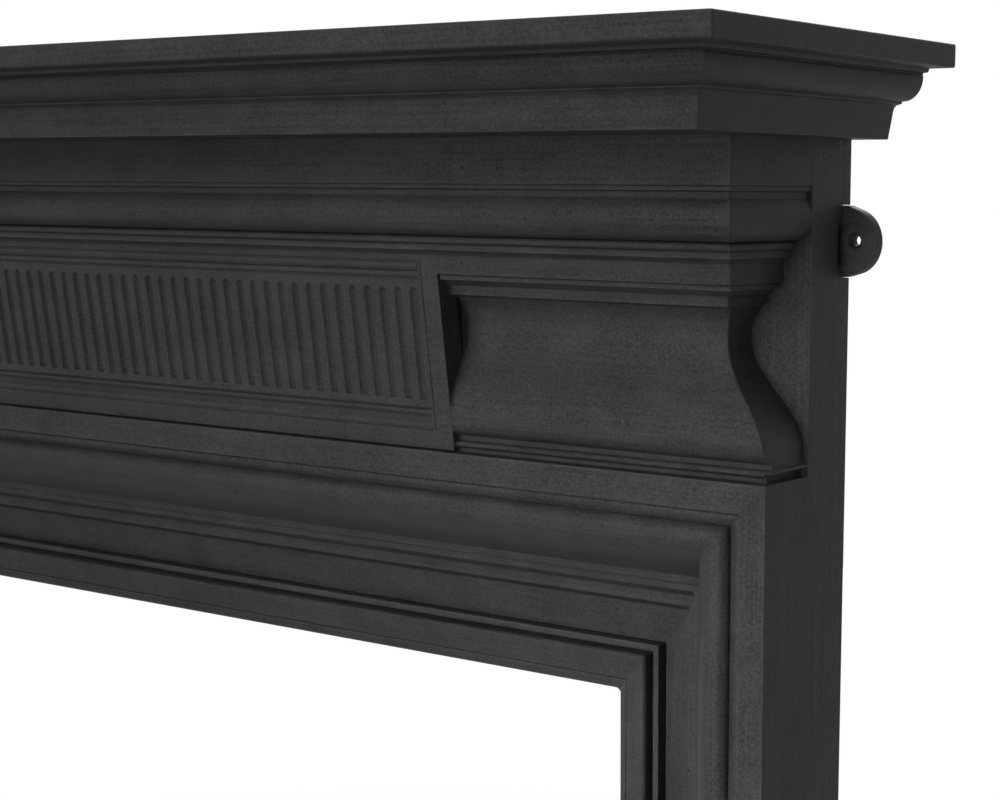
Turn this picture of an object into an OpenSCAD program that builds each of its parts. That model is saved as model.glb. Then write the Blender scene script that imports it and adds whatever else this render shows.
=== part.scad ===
// Cast iron fireplace surround: a moulded shelf on a deep frieze with a fluted
// tablet, two hollow moulded legs and a stepped frame round an open hearth.

/* [Overall] */
// Width of the shelf slab
shelf_w = 1380; // [1360:10:1440]
// Width across the outer faces of the two legs
body_w = 1250; // [1250:10:1290]
// Width of the hearth opening
opening_w = 940; // [900:10:940]
// Height of the hearth opening
opening_h = 940; // [860:10:1000]
// How far the shelf stands out in front of the legs
shelf_out = 157; // [150:1:165]

/* [Shelf and frieze] */
// Thickness of the shelf slab
slab_t = 13; // [11:1:15]
// How far the top band of the frieze stands out in front of the legs
band_out = 39.5; // [38:0.5:42]

/* [Fluted tablet] */
// Number of flutes
flute_count = 59; // [41:2:59]
// Distance between flute centres
flute_pitch = 12.75; // [11:0.25:12.75]
// Width of one flute
flute_w = 6.6; // [5:0.2:7]
// Depth of one flute
flute_d = 2.4; // [1.2:0.2:2.4]

/* [Castings and fixings] */
// Height of the plinth block under each leg
plinth_h = 150; // [120:5:170]
// How far a plinth stands out from its leg
plinth_out = 5; // [3:1:8]
// Diameter of the fixing hole in a wall lug
lug_hole_d = 6; // [5:0.5:8]
// Diameter of the joining bolts
bolt_d = 8; // [6:1:8]

/* [Hidden] */

// Modelling frame: y = 0 is the face of the legs, z = 0 is the top of the legs,
// and w is a distance in from the outside of a leg or down from its top.
body_d = 90;
jamb_w = (body_w - opening_w) / 2;
ledge_z = opening_h + jamb_w;
half = body_w / 2;
shift_y = (shelf_out - body_d) / 2;
leg_bottom = plinth_h - ledge_z;
wall = 8;
lap_y = 82;
frieze_h = 192;
shelf_h = 52;
fine = 48;

iron = [0.20, 0.20, 0.20];
iron_deep = [0.15, 0.15, 0.15];
iron_pale = [0.26, 0.26, 0.26];
bolt_grey = [0.36, 0.36, 0.37];

// Points of an elliptical arc about [cx, cy] from angle a to angle b
function arc(cx, cy, rx, ry, a, b, n) =
  [for (i = [0:n]) let (t = a + (b - a) * i / n) [cx + rx * cos(t), cy + ry * sin(t)]];
// Points that ease from u to v as z goes from z0 to z1, along half a cosine wave
function ogee(u, v, z0, z1, n) =
  [for (i = [0:n]) let (t = i / n) [u + (v - u) * (1 - cos(180 * t)) / 2, z0 + (z1 - z0) * t]];
function flipped(points) = [for (i = [len(points) - 1:-1:0]) points[i]];
function swapped(points) = [for (p = points) [-p[0], p[1]]];

// Puts the modelling frame where the finished part stands
module placed() {
  translate([0, shift_y, ledge_z]) children();
}
// Runs a [y, z] outline along X, centred
module along_x(length) {
  rotate([90, 0, 90]) linear_extrude(length, center = true) children();
}
// Runs an [x, z] outline along Y, from y0 to y1
module along_y(y0, y1) {
  translate([0, y1, 0]) rotate([90, 0, 0]) linear_extrude(y1 - y0) children();
}
module block(from, to) {
  translate(from) cube(to - from);
}
module both_sides() {
  children();
  mirror([1, 0, 0]) children();
}
module on_side(side) {
  if (side > 0) children();
  else mirror([1, 0, 0]) children();
}
// A rod along Z from z0 to z1
module rod(x, y, z0, z1, d) {
  translate([x, y, z0]) cylinder(d = d, h = z1 - z0, $fn = fine);
}
// A rod along Y from y0 to y1
module rod_y(x, z, y0, y1, d1, d2) {
  translate([x, y0, z]) rotate([-90, 0, 0]) cylinder(d1 = d1, d2 = d2, h = y1 - y0, $fn = fine);
}

// ---- Fixings ----
head_h = 5.3;
nut_h = 6.5;
hex_d = 15;
clear_d = bolt_d + 1;
bay_w = 129.5;
rib_t = 7;
shelf_bolt_bays = [-4.5, -2.5, -0.5, 0.5, 2.5, 4.5];
frieze_bolt_bays = [-2.5, -0.5, 0.5, 2.5];
shelf_bolt_y = -10;
frieze_bolt_y = 34;
stile_bolt_w = 23;
stile_bolt_y = 68;
plinth_bolt_w = [24, 54];
plinth_bolt_y = 50;

// A hexagon bolt standing on z, its shank pointing down
module bolt(x, y, z, grip) {
  rod(x, y, z - grip - nut_h - 2, z + 0.01, bolt_d);
  translate([x, y, z]) cylinder(d = hex_d, h = head_h, $fn = 6);
}
// A hexagon nut hanging below z
module nut(x, y, z) {
  difference() {
    translate([x, y, z - nut_h]) cylinder(d = hex_d, h = nut_h, $fn = 6);
    rod(x, y, z - nut_h - 1, z + 1, bolt_d);
  }
}

// ---- Shelf ----
slab_bottom = frieze_h + shelf_h - slab_t;
shelf_top = frieze_h + shelf_h;
mitre = 0.82;
edge_r = 1.5;
hollow_in = 53;

// Edge of the shelf as [distance in from the slab face, z]
function shelf_edge() = concat(
  [[60, shelf_top]],
  arc(edge_r, shelf_top - edge_r, edge_r, edge_r, 90, 180, 4),
  arc(edge_r, slab_bottom + edge_r, edge_r, edge_r, 180, 270, 4),
  [[19.5, slab_bottom], [20.3, slab_bottom - 2], [24.6, slab_bottom - 2.5]],
  arc(39, slab_bottom - 4.5, 15, 13.4, 180, 262, 9),
  [[40, frieze_h + 21.1], [40.2, frieze_h + 19.8], [44, frieze_h + 19.1]],
  [[46, frieze_h + 17.8], [46.9, frieze_h + 15.4], [47.7, frieze_h + 11.4]],
  [[50.5, frieze_h], [60, frieze_h]]
);
module shelf_outline_front() {
  polygon(concat(
    [for (p = shelf_edge()) [p[0] - shelf_out, p[1]]],
    [[body_d, frieze_h], [body_d, shelf_top]]
  ));
}
module shelf_outline_side() {
  side = [for (p = shelf_edge()) [shelf_w / 2 - mitre * p[0], p[1]]];
  polygon(concat(side, flipped(swapped(side))));
}
module mantel_shelf() {
  hollow_half = shelf_w / 2 - mitre * hollow_in;
  color(iron) placed() difference() {
    intersection() {
      along_x(shelf_w + 2) shelf_outline_front();
      along_y(-shelf_out - 1, body_d) shelf_outline_side();
    }
    // hollow bays of the casting, open to the wall
    for (bay = [-5:4]) {
      x0 = bay * bay_w + rib_t / 2;
      x1 = (bay + 1) * bay_w - rib_t / 2;
      block([max(x0, -hollow_half), hollow_in - shelf_out, frieze_h + wall],
            [min(x1, hollow_half), body_d + 1, slab_bottom]);
    }
    for (bay = shelf_bolt_bays) {
      rod(bay * bay_w, shelf_bolt_y, frieze_h - 1, frieze_h + wall + 1, clear_d);
    }
    both_sides() rod(half - stile_bolt_w, stile_bolt_y, frieze_h - 1, frieze_h + wall + 1, clear_d);
  }
}

// ---- Frieze ----
stop_y = 46;
torus_z = 148;
scotia_z = 78;
scotia_y = 20.5;
bulge_y = 2.2;
flat_top = 122.5;
flat_bottom = 111;
step_z = 97.2;
tablet_w = 788;
tablet_foot = 1;
face_y = 4.7;
face_lean = 0.1285;
seat_y = 14;
flange_y = 60;
flange_half = half - 53.4;
tablet_screw_bays = [-2.5, -1.5, -0.5, 0.5, 1.5, 2.5];
screw_d = 6;
screw_gap = 0.6;

// Leaning face that the flat band and the tablet share
function lean(z) = face_y - face_lean * z;

// Front of the frieze from the shelf down to the flat band, as [y, z]
function frieze_front() = concat(
  [[-band_out, frieze_h], [-band_out, 165.4], [1.3 - band_out, 165]],
  [[1.3 - band_out, 162.5], [3.4 - band_out, 162], [3.4 - band_out, 158]],
  arc(16 - band_out, torus_z, 16.4, 16.4, 142, 178, 5),
  arc(16 - band_out, torus_z, 16.4, 13, 180, 268, 9),
  arc(-22, 132.2, 2.3, 2.3, 90, 270, 6),
  [[-19.5, 129.5], [-19.5, 125.6], [-15, 125], [-12.6, 123.8]],
  [[lean(flat_top), flat_top], [lean(flat_bottom), flat_bottom]]
);
// Steps beside the tablet, below the flat band
function frieze_steps() =
  [[-7.2, 110.7], [-7, 107.6], [-1.5, 107], [1, 105.3], [3.6, 104.2], [4.6, 98], [9, step_z]];
// Hollow, bulge and foot of the recess, from the steps down
function frieze_hollow() = concat(
  arc(scotia_y - 26, scotia_z, 26, 26, 45, 4, 7),
  flipped(ogee(bulge_y, scotia_y, 22, scotia_z, 16)),
  arc(bulge_y + 12, 22, 12, 12, 190, 248, 6),
  [[10.4, 10.4], [10.4, 7.1], [8.2, 6.7], [7.2, 5.3], [7.6, 3.8], [9.6, 3], [10.5, 2.8], [10.5, 0]]
);
// Ends of the frieze from the shelf down, as [distance out from the leg side, z]
function frieze_side() = concat(
  [[0, frieze_h], [0, 165.4], [-0.8, 165], [-0.8, 162.5], [-2.6, 162], [-2.6, 158]],
  arc(-10.5, torus_z, 10.5, 15.5, 38, 3, 5),
  arc(-10.5, torus_z, 10.5, 13, 0, -86, 8),
  arc(-11.5, 132.2, 1.6, 2.3, 90, -90, 6),
  [[-12.6, 129.5], [-12.6, 125.6], [-15.4, 125], [-17, 123.8], [-18, flat_top]],
  [[-18.4, flat_bottom], [-20, 110.7], [-20.2, 107.6], [-23.6, 107], [-26.4, 104.4]],
  [[-28.6, 103.6], [-29.4, 98], [-31.6, step_z]],
  arc(-11.5, scotia_z, 28, 28, 136, 176, 7),
  flipped(ogee(-3.4, -39.5, 17, scotia_z, 16)),
  [[-3.5, 12]],
  arc(0, 12, 3.5, 4.6, 190, 270, 5),
  [[0, 5.6], [-6, 5.4], [-6, 0]]
);
// Casting line inside the frieze, one wall thickness behind its front
function frieze_inside() = [
  [flange_y + 1, 184], [wall - band_out, 184], [wall - band_out, 150], [-27, 142], [-15, 135],
  [-4, 130], [10.5, 125], [12.5, 104], [20, 98], [28.5, 90], [29, 70], [21, 57],
  [13, 44], [8.5, 32], [9.5, 21], [19, wall], [flange_y + 1, wall]
];
function frieze_side_inside() = [
  [half - 8, 184], [half - 8, 150], [half - 12, 142], [half - 21, 134], [half - 27, 124],
  [half - 38, 104], [half - 48, 92], [half - 48, 68], [half - 40, 55], [half - 27, 42],
  [half - 16, 32], [half - 12, 20], [half - 15, wall]
];
module frieze_casting() {
  face = concat(frieze_front(), frieze_steps(), frieze_hollow());
  side = [for (p = frieze_side()) [half + p[0], p[1]]];
  inside = frieze_side_inside();
  color(iron) placed() difference() {
    union() {
      intersection() {
        along_x(body_w + 2) polygon(concat(face, [[stop_y, 0], [stop_y, frieze_h]]));
        along_y(-band_out - 1, stop_y) polygon(concat(side, flipped(swapped(side))));
      }
      for (z = [0, frieze_h - wall]) {
        block([-flange_half, stop_y - 1, z], [flange_half, flange_y, z + wall]);
      }
      // fills the recess behind the tablet, out to its seat
      block([-tablet_w / 2, seat_y, 0], [tablet_w / 2, stop_y, flat_top]);
    }
    difference() {
      intersection() {
        along_x(body_w) polygon(frieze_inside());
        along_y(-band_out, flange_y + 2) polygon(concat(inside, flipped(swapped(inside))));
      }
      for (rib = [-4:4]) {
        block([rib * bay_w - rib_t / 2, -band_out, 0], [rib * bay_w + rib_t / 2, stop_y, frieze_h]);
      }
      // wall behind the seat of the tablet
      block([-tablet_w / 2 - wall, -band_out, 0], [tablet_w / 2 + wall, seat_y + wall, flat_top + wall]);
    }
    // flat seat of the tablet
    block([-tablet_w / 2, -band_out, -1], [tablet_w / 2, seat_y, flat_top]);
    for (bay = shelf_bolt_bays) {
      rod(bay * bay_w, shelf_bolt_y, frieze_h - wall - 1, frieze_h + 1, clear_d);
    }
    for (bay = frieze_bolt_bays) rod(bay * bay_w, frieze_bolt_y, -1, wall + 1, clear_d);
    for (bay = tablet_screw_bays) {
      rod_y(bay * bay_w, scotia_z, 0, stop_y, screw_d + screw_gap, screw_d + screw_gap);
    }
  }
}

// ---- Fluted tablet ----
field_half = 377.5;
border_in = 13;
field_d = 3.4;
flute_top = 102;
flute_foot = 31.3;
lean_angle = atan(face_lean);
tablet_skin = 9;
hollow_low = 20;
hollow_high = 110;
screw_boss_d = 16;
screw_end_y = 5;
screw_head_y = 29;

// Mouldings above and below the flutes as [depth behind the leaning face, z]
function tablet_mouldings() = [
  [0, flat_top], [0, 118.9], [0.9, 118.6], [0.9, 117.4], [0.2, 117], [0.5, 114.6],
  [1.6, 113], [3.2, 112], [2.7, 111.4], [2.7, 109], [4.2, 108.6], [4.2, 107.2],
  [3.6, 106.9], [3.6, 105.8], [field_d, 105.2], [field_d, 26.6], [4.4, 26.3],
  [4.4, 25.3], [2.9, 24.9], [2.6, 23.8], [2.9, 22.6], [4.4, 22.2], [4.4, 21],
  [3.7, 20.6], [2.6, 18.8], [1.1, 17], [0.5, 15.2], [0.5, 14.2], [0.9, 13.8],
  [0.9, 12.6], [0, 12.2], [0, tablet_foot]
];
// One leaning strip of the tablet between x0 and x1, sunk by depth
module tablet_strip(x0, x1, depth, z0 = tablet_foot, z1 = flat_top) {
  translate([(x0 + x1) / 2, 0, 0]) along_x(x1 - x0) polygon([
    [lean(z1) + depth, z1], [lean(z0) + depth, z0], [seat_y, z0], [seat_y, z1]
  ]);
}
module flute(x) {
  r = (flute_w * flute_w / 4 + flute_d * flute_d) / (2 * flute_d);
  translate([0, face_y, 0]) rotate([lean_angle, 0, 0]) translate([x, field_d + flute_d - r, 0]) {
    translate([0, 0, flute_foot]) cylinder(r = r, h = flute_top - flute_w / 2 - flute_foot, $fn = fine);
    translate([0, 0, flute_top - flute_w / 2]) sphere(r = r, $fn = fine);
  }
}
module fluted_tablet() {
  tablet_half = tablet_w / 2;
  border = tablet_half - border_in;
  color(iron_pale) placed() difference() {
    union() {
      along_x(2 * field_half) polygon(concat(
        [for (p = tablet_mouldings()) [lean(p[1]) + p[0], p[1]]],
        [[seat_y, tablet_foot], [seat_y, flat_top]]
      ));
      both_sides() {
        tablet_strip(border, tablet_half, 0);
        tablet_strip(field_half, border, 0.9);
        tablet_strip(field_half, border, 0, tablet_foot, 12.2);
        tablet_strip(field_half, border, 0, 118.9, flat_top);
        tablet_strip(field_half + 0.5, border - 0.9, 0.2, 13, 118);
      }
    }
    for (i = [0:flute_count - 1]) flute((i - (flute_count - 1) / 2) * flute_pitch);
    // hollow behind the face, round the screw bosses
    difference() {
      along_x(tablet_w - 2 * wall) polygon([
        [lean(hollow_high) + tablet_skin, hollow_high], [lean(hollow_low) + tablet_skin, hollow_low],
        [seat_y + 1, hollow_low], [seat_y + 1, hollow_high]
      ]);
      for (bay = tablet_screw_bays) {
        rod_y(bay * bay_w, scotia_z, -band_out, stop_y, screw_boss_d, screw_boss_d);
      }
    }
    for (bay = tablet_screw_bays) {
      rod_y(bay * bay_w, scotia_z, screw_end_y - 1, seat_y + 1, screw_d, screw_d);
    }
  }
}
module tablet_screws() {
  color(bolt_grey) placed() for (bay = tablet_screw_bays) {
    rod_y(bay * bay_w, scotia_z, screw_end_y, screw_head_y + 0.1, screw_d, screw_d);
    rod_y(bay * bay_w, scotia_z, screw_head_y, screw_head_y + 4, 11, 9);
  }
}

// ---- Header and legs: one moulding as [w, y], mitred at the corners ----
torus_w = 33;
torus_y = -2.4;
torus_k = 0.041;
fascia_w = 120.5;
lap_w = 140;

// Face of the moulding from the outer edge in to the sunken fascia
function moulding() = concat(
  [[0, 0], [17.6, 0], [18, 2.6], [18.8, 3.2], [20.4, 2.7], [22.4, 3.1], [24, 4], [25.4, 4.6]],
  arc(torus_w, 4.6, 7.4, 7, 178, 270, 7),
  [for (w = [36:3:57]) [w, torus_y + torus_k * pow(w - torus_w, 2)]],
  [[61.4, 30.5], [66.5, 40.5], [71, 41.2], [72.7, 43.4], [76.7, 44.2], [82.2, 56.8]],
  [[89.7, 58], [95, 70.5], [fascia_w, 78]]
);
// Inside of the same casting
function moulding_inside() = [
  [8, 8], [42, 8.5], [47.5, 18.5], [60.5, 43.5], [64, 49], [70.5, 50.5], [75.5, 61],
  [77.5, 65.5], [84, 67], [88, 75], [91, 80], [94, body_d + 1]
];
function moulding_lap() =
  [[fascia_w, lap_y], [lap_w, lap_y], [lap_w, body_d]];

// Cuts the outer half of a corner away, on the right side
module above_mitre(y0, y1) {
  along_y(y0, y1) polygon([[half + 1, 1], [half - 170, -170], [half - 170, 400], [half + 1, 400]]);
}
module below_mitre(y0, y1) {
  along_y(y0, y1) polygon([[half, 0], [half - 170, -170], [half + 5, -170], [half + 5, 0]]);
}

frame_screw_w = 132;
frame_head_screws = [-360, -120, 120, 360];
frame_leg_screws = [-250, -420, -590, -760];
frame_screw_d = 6;
frame_screw_l = 18;
lap_head_d = 12;
lap_head_h = 3.5;
lap_gap = 0.4;

// Countersunk screw from the back of the lap
module lap_screw(x, z, gap) {
  rod_y(x, z, body_d - frame_screw_l - gap, body_d + gap, frame_screw_d + gap, frame_screw_d + gap);
  rod_y(x, z, body_d - lap_head_h, body_d + 0.01, frame_screw_d + gap, lap_head_d + gap);
}

// Bosses that carry the corner cleats
cleat_w1 = 62;
cleat_w2 = 100;
cleat_y = 78;
cleat_t = 5;
cleat_r = 13;
boss_d = 22;
boss_y = 47;
tap_depth = 16;
module cleat_boss(x, z) {
  difference() {
    rod_y(x, z, boss_y, cleat_y, boss_d, boss_d);
    rod_y(x, z, cleat_y - tap_depth, cleat_y + 1, bolt_d, bolt_d);
  }
}

module header_casting() {
  face = [for (p = moulding()) [p[1], -p[0]]];
  inside = [for (p = moulding_inside()) [p[1], -p[0]]];
  lap = [for (p = moulding_lap()) [p[1], -p[0]]];
  color(iron) placed() {
    difference() {
      union() {
        difference() {
          along_x(body_w) polygon(concat(face, lap, [[body_d, 0]]));
          along_x(body_w) polygon(concat(inside, [[body_d + 1, -wall]]));
          block([-half - 1, flange_y, -wall - 1], [half + 1, body_d + 1, 1]);
        }
        for (rib = [-3:3]) {
          translate([rib * bay_w, 0, 0]) along_x(rib_t) polygon(concat(
            [[7, -4]], [for (p = inside) [min(p[0], 84) - 1, p[1]]], [[84, -84], [flange_y, -wall]]
          ));
        }
      }
      both_sides() {
        below_mitre(-10, body_d + 2);
        block([half - 46, stop_y - 1, -100], [half + 1, body_d + 1, 1]);
      }
      for (x = frame_head_screws) lap_screw(x, -frame_screw_w, lap_gap);
      for (bay = frieze_bolt_bays) rod(bay * bay_w, frieze_bolt_y, -wall - 1, 1, clear_d);
    }
    both_sides() cleat_boss(half - cleat_w2, -cleat_w1);
  }
}

// ---- Wall lugs ----
lug_z = [134.5, -700];
lug_hole_x = 8;
lug_dish_d = 10;
ear_at = [4, -0.8];
ear_r = [18.2, 19.2];
lug_t = 9;
lug_tang = 36;
lug_root_up = 20;
lug_root_down = 21.5;
lug_gap = 5;
lug_slot_gap = 0.3;
lug_pad_d = 20;
lug_pad_t = 0.8;
lug_screw_d = 5;
lug_screw_l = 20;
lug_screw_in = 24;
lug_screw_dz = 8;
lug_head_d = 10.5;
lug_head_h = 3;

module leg_lug_seat(z) {
  block([half - lug_tang, 62, z - 16], [half - 4, body_d - lug_t, z + 16]);
}
module leg_lug_slot(z) {
  block([half - lug_tang - 1, body_d - lug_t, z - lug_root_down - lug_slot_gap],
        [half + 1, body_d + 1, z + lug_root_up + lug_slot_gap]);
  block([half - wall - 1, body_d - lug_t - lug_gap, z - 14], [half + 1, body_d, z + 9]);
}
module lug(side, z) {
  color(iron) placed() on_side(side) translate([half, 0, z]) {
    difference() {
      union() {
        along_y(body_d - lug_t, body_d) polygon(concat(
          arc(ear_at[0], ear_at[1], ear_r[0], ear_r[1], -70, 70, 20),
          [[6.5, 18.6], [2.7, lug_root_up], [-wall, lug_root_up], [-wall, 14], [-lug_tang, 14]],
          [[-lug_tang, -14], [-wall, -14], [-wall, -lug_root_down], [0, -lug_root_down], [4.1, -20.7]]
        ));
        rod_y(lug_hole_x, 0, body_d - lug_t - lug_pad_t, body_d, lug_pad_d, lug_pad_d);
      }
      rod_y(lug_hole_x, 0, body_d - lug_t - 2, body_d + 1, lug_hole_d, lug_hole_d);
      rod_y(lug_hole_x, 0, body_d - lug_t - 0.9, body_d - lug_t + 2.1, lug_dish_d, lug_hole_d);
      lug_screw_set(0.3);
    }
  }
}
module lug_screw_set(gap) {
  for (dz = [-lug_screw_dz, lug_screw_dz]) {
    rod_y(-lug_screw_in, dz, body_d - lug_screw_l - gap, body_d + gap, lug_screw_d + gap, lug_screw_d + gap);
    rod_y(-lug_screw_in, dz, body_d - lug_head_h, body_d + 0.01, lug_screw_d + gap, lug_head_d + gap);
  }
}
module lug_upper_left() lug(-1, lug_z[0]);
module lug_upper_right() lug(1, lug_z[0]);
module lug_lower_left() lug(-1, lug_z[1]);
module lug_lower_right() lug(1, lug_z[1]);
module lug_screws() {
  color(bolt_grey) placed() both_sides() for (z = lug_z) {
    translate([half, 0, z]) lug_screw_set(0);
  }
}

// ---- Legs ----
leg_rib_step = 132;
stile_w = 46;

module leg(side) {
  face = [for (p = moulding()) [half - p[0], p[1]]];
  inside = [for (p = moulding_inside()) [half - p[0], p[1]]];
  lap = [for (p = moulding_lap()) [half - p[0], p[1]]];
  color(iron) placed() on_side(side) {
    difference() {
      union() {
        difference() {
          translate([0, 0, leg_bottom]) linear_extrude(-leg_bottom) {
            difference() {
              polygon(concat(face, lap, [[half, body_d]]));
              polygon(concat(inside, [[half - wall, body_d + 1]]));
            }
          }
          above_mitre(-10, body_d + 2);
        }
        // webs across the hollow, the lowest one seated on the plinth
        for (i = [0:6]) {
          z = leg_bottom + i * leg_rib_step;
          if (z < -100) translate([0, 0, z]) linear_extrude(i == 0 ? wall : rib_t) polygon(concat(
            [for (p = inside) [p[0] - 0.5, min(p[1], 84) - 0.5]], [[half - 93, 84], [half - 4, 84]]
          ));
        }
        // stile that carries the leg up past the end of the frieze
        difference() {
          block([half - stile_w, stop_y, -60], [half, body_d, frieze_h]);
          block([half - stile_w + wall, stop_y + wall, -61], [half - wall, body_d + 1, frieze_h - wall]);
        }
        for (z = lug_z) leg_lug_seat(z);
      }
      for (z = lug_z) {
        leg_lug_slot(z);
        translate([half, 0, z]) lug_screw_set(0);
      }
      for (z = frame_leg_screws) lap_screw(half - frame_screw_w, z, lap_gap);
      rod(half - stile_bolt_w, stile_bolt_y, frieze_h - wall - 1, frieze_h + 1, clear_d);
      for (w = plinth_bolt_w) {
        rod(half - w, plinth_bolt_y, leg_bottom - 1, leg_bottom + wall + 1, clear_d);
      }
    }
    cleat_boss(half - cleat_w1, -cleat_w2);
  }
}
module left_leg() leg(-1);
module right_leg() leg(1);

// ---- Plinths ----
module plinth(side) {
  top = leg_bottom;
  floor_z = -ledge_z;
  cap = plinth_out;
  color(iron_deep) placed() on_side(side) difference() {
    intersection() {
      translate([half - 60, 0, 0]) along_x(140) polygon(concat(
        [[body_d, top], [0, top]],
        arc(0, top - cap, cap, cap, 90, 180, 5),
        [[-cap, floor_z], [body_d, floor_z]]
      ));
      along_y(-cap - 1, body_d) polygon(concat(
        [[half - fascia_w, floor_z], [half + cap, floor_z]],
        arc(half, top - cap, cap, cap, 0, 90, 5),
        [[half - fascia_w, top]]
      ));
    }
    block([half - fascia_w + wall, wall - cap, floor_z - 1], [half + cap - wall, body_d + 1, top - wall]);
    for (w = plinth_bolt_w) rod(half - w, plinth_bolt_y, top - wall - 1, top + 1, clear_d);
  }
}
module left_plinth() plinth(-1);
module right_plinth() plinth(1);

// ---- Frame round the opening ----
frame_gap = 0.7;
corner_r = 5;

function frame_face() = [
  [fascia_w + frame_gap, lap_y], [fascia_w + frame_gap, 70.4], [125.2, 70.2], [125.4, 74],
  [127.2, 74.5], [127.6, 65.6], [129, 64], [145.8, 70], [146.2, 71.8], [147.2, 72.2], [147.8, 71.4],
  [jamb_w - 2, 74], [jamb_w, 76.4], [jamb_w, body_d], [lap_w + 0.3, body_d], [lap_w + 0.3, lap_y]
];
module frame_head() {
  color(iron_deep) placed() difference() {
    union() {
      difference() {
        along_x(body_w) polygon([for (p = frame_face()) [p[1], -p[0]]]);
        both_sides() below_mitre(-10, body_d + 2);
      }
      // rounded inner corners of the opening
      both_sides() translate([half - jamb_w, 0, -jamb_w]) difference() {
        block([-corner_r, 77, -corner_r], [0, body_d, 0]);
        rod_y(-corner_r, -corner_r, 76, body_d + 1, 2 * corner_r, 2 * corner_r);
      }
    }
    for (x = frame_head_screws) {
      rod_y(x, -frame_screw_w, body_d - frame_screw_l, body_d, frame_screw_d, frame_screw_d);
    }
  }
}
module frame_jamb(side) {
  color(iron_deep) placed() on_side(side) difference() {
    translate([0, 0, -ledge_z]) linear_extrude(ledge_z) {
      polygon([for (p = frame_face()) [half - p[0], p[1]]]);
    }
    above_mitre(-10, body_d + 2);
    for (z = frame_leg_screws) {
      rod_y(half - frame_screw_w, z, body_d - frame_screw_l, body_d, frame_screw_d, frame_screw_d);
    }
  }
}
module frame_left() frame_jamb(-1);
module frame_right() frame_jamb(1);
module frame_screws() {
  color(bolt_grey) placed() {
    for (x = frame_head_screws) lap_screw(x, -frame_screw_w, 0);
    both_sides() for (z = frame_leg_screws) lap_screw(half - frame_screw_w, z, 0);
  }
}

// ---- Cleats across the corner joints ----
module cleat(side) {
  reach = (cleat_w2 - cleat_w1) * sqrt(2);
  color(bolt_grey) placed() on_side(side) {
    translate([half - cleat_w1, 0, -cleat_w2]) rotate([0, 45, 0]) difference() {
      union() {
        block([-reach, cleat_y, -cleat_r], [0, cleat_y + cleat_t, cleat_r]);
        for (x = [0, -reach]) rod_y(x, 0, cleat_y, cleat_y + cleat_t, 2 * cleat_r, 2 * cleat_r);
      }
      for (x = [0, -reach]) rod_y(x, 0, cleat_y - 1, cleat_y + cleat_t + 1, clear_d, clear_d);
    }
  }
}
module cleat_left() cleat(-1);
module cleat_right() cleat(1);
module cleat_bolts() {
  color(bolt_grey) placed() both_sides() for (at = [[cleat_w1, cleat_w2], [cleat_w2, cleat_w1]]) {
    rod_y(half - at[0], -at[1], cleat_y - 15, cleat_y + cleat_t + 0.01, bolt_d, bolt_d);
    translate([half - at[0], cleat_y + cleat_t, -at[1]]) rotate([-90, 0, 0]) {
      cylinder(d = hex_d, h = head_h, $fn = 6);
    }
  }
}

// ---- Bolts and nuts ----
module shelf_bolts() {
  color(bolt_grey) placed() {
    for (bay = shelf_bolt_bays) bolt(bay * bay_w, shelf_bolt_y, frieze_h + wall, 2 * wall);
    both_sides() bolt(half - stile_bolt_w, stile_bolt_y, frieze_h + wall, 2 * wall);
  }
}
module shelf_nuts() {
  color(bolt_grey) placed() {
    for (bay = shelf_bolt_bays) nut(bay * bay_w, shelf_bolt_y, frieze_h - wall);
    both_sides() nut(half - stile_bolt_w, stile_bolt_y, frieze_h - wall);
  }
}
module frieze_bolts() {
  color(bolt_grey) placed() for (bay = frieze_bolt_bays) bolt(bay * bay_w, frieze_bolt_y, wall, 2 * wall);
}
module frieze_nuts() {
  color(bolt_grey) placed() for (bay = frieze_bolt_bays) nut(bay * bay_w, frieze_bolt_y, -wall);
}
module plinth_bolts() {
  color(bolt_grey) placed() both_sides() for (w = plinth_bolt_w) {
    bolt(half - w, plinth_bolt_y, leg_bottom + wall, 2 * wall);
  }
}
module plinth_nuts() {
  color(bolt_grey) placed() both_sides() for (w = plinth_bolt_w) {
    nut(half - w, plinth_bolt_y, leg_bottom - wall);
  }
}

mantel_shelf();
frieze_casting();
fluted_tablet();
header_casting();
left_leg();
right_leg();
left_plinth();
right_plinth();
frame_head();
frame_left();
frame_right();
lug_upper_left();
lug_upper_right();
lug_lower_left();
lug_lower_right();
cleat_left();
cleat_right();
shelf_bolts();
shelf_nuts();
frieze_bolts();
frieze_nuts();
plinth_bolts();
plinth_nuts();
cleat_bolts();
tablet_screws();
frame_screws();
lug_screws();
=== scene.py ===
import math

import bmesh
import bpy
import numpy as np
from mathutils import Matrix, Vector


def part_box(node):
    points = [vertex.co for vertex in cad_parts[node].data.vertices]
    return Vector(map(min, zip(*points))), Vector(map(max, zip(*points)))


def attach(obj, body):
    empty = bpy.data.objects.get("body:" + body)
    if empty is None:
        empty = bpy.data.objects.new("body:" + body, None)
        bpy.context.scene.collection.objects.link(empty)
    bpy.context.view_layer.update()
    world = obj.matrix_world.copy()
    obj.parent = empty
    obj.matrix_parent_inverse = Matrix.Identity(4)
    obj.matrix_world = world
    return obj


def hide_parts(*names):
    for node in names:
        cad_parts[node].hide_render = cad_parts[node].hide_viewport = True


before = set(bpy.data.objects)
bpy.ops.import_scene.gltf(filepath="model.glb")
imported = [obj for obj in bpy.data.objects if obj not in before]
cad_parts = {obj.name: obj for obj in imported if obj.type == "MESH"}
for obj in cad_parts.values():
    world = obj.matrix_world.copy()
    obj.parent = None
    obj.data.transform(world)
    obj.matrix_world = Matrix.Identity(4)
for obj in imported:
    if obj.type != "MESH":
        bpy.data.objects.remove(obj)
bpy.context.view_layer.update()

scene = bpy.context.scene
mm = 0.001

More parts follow.
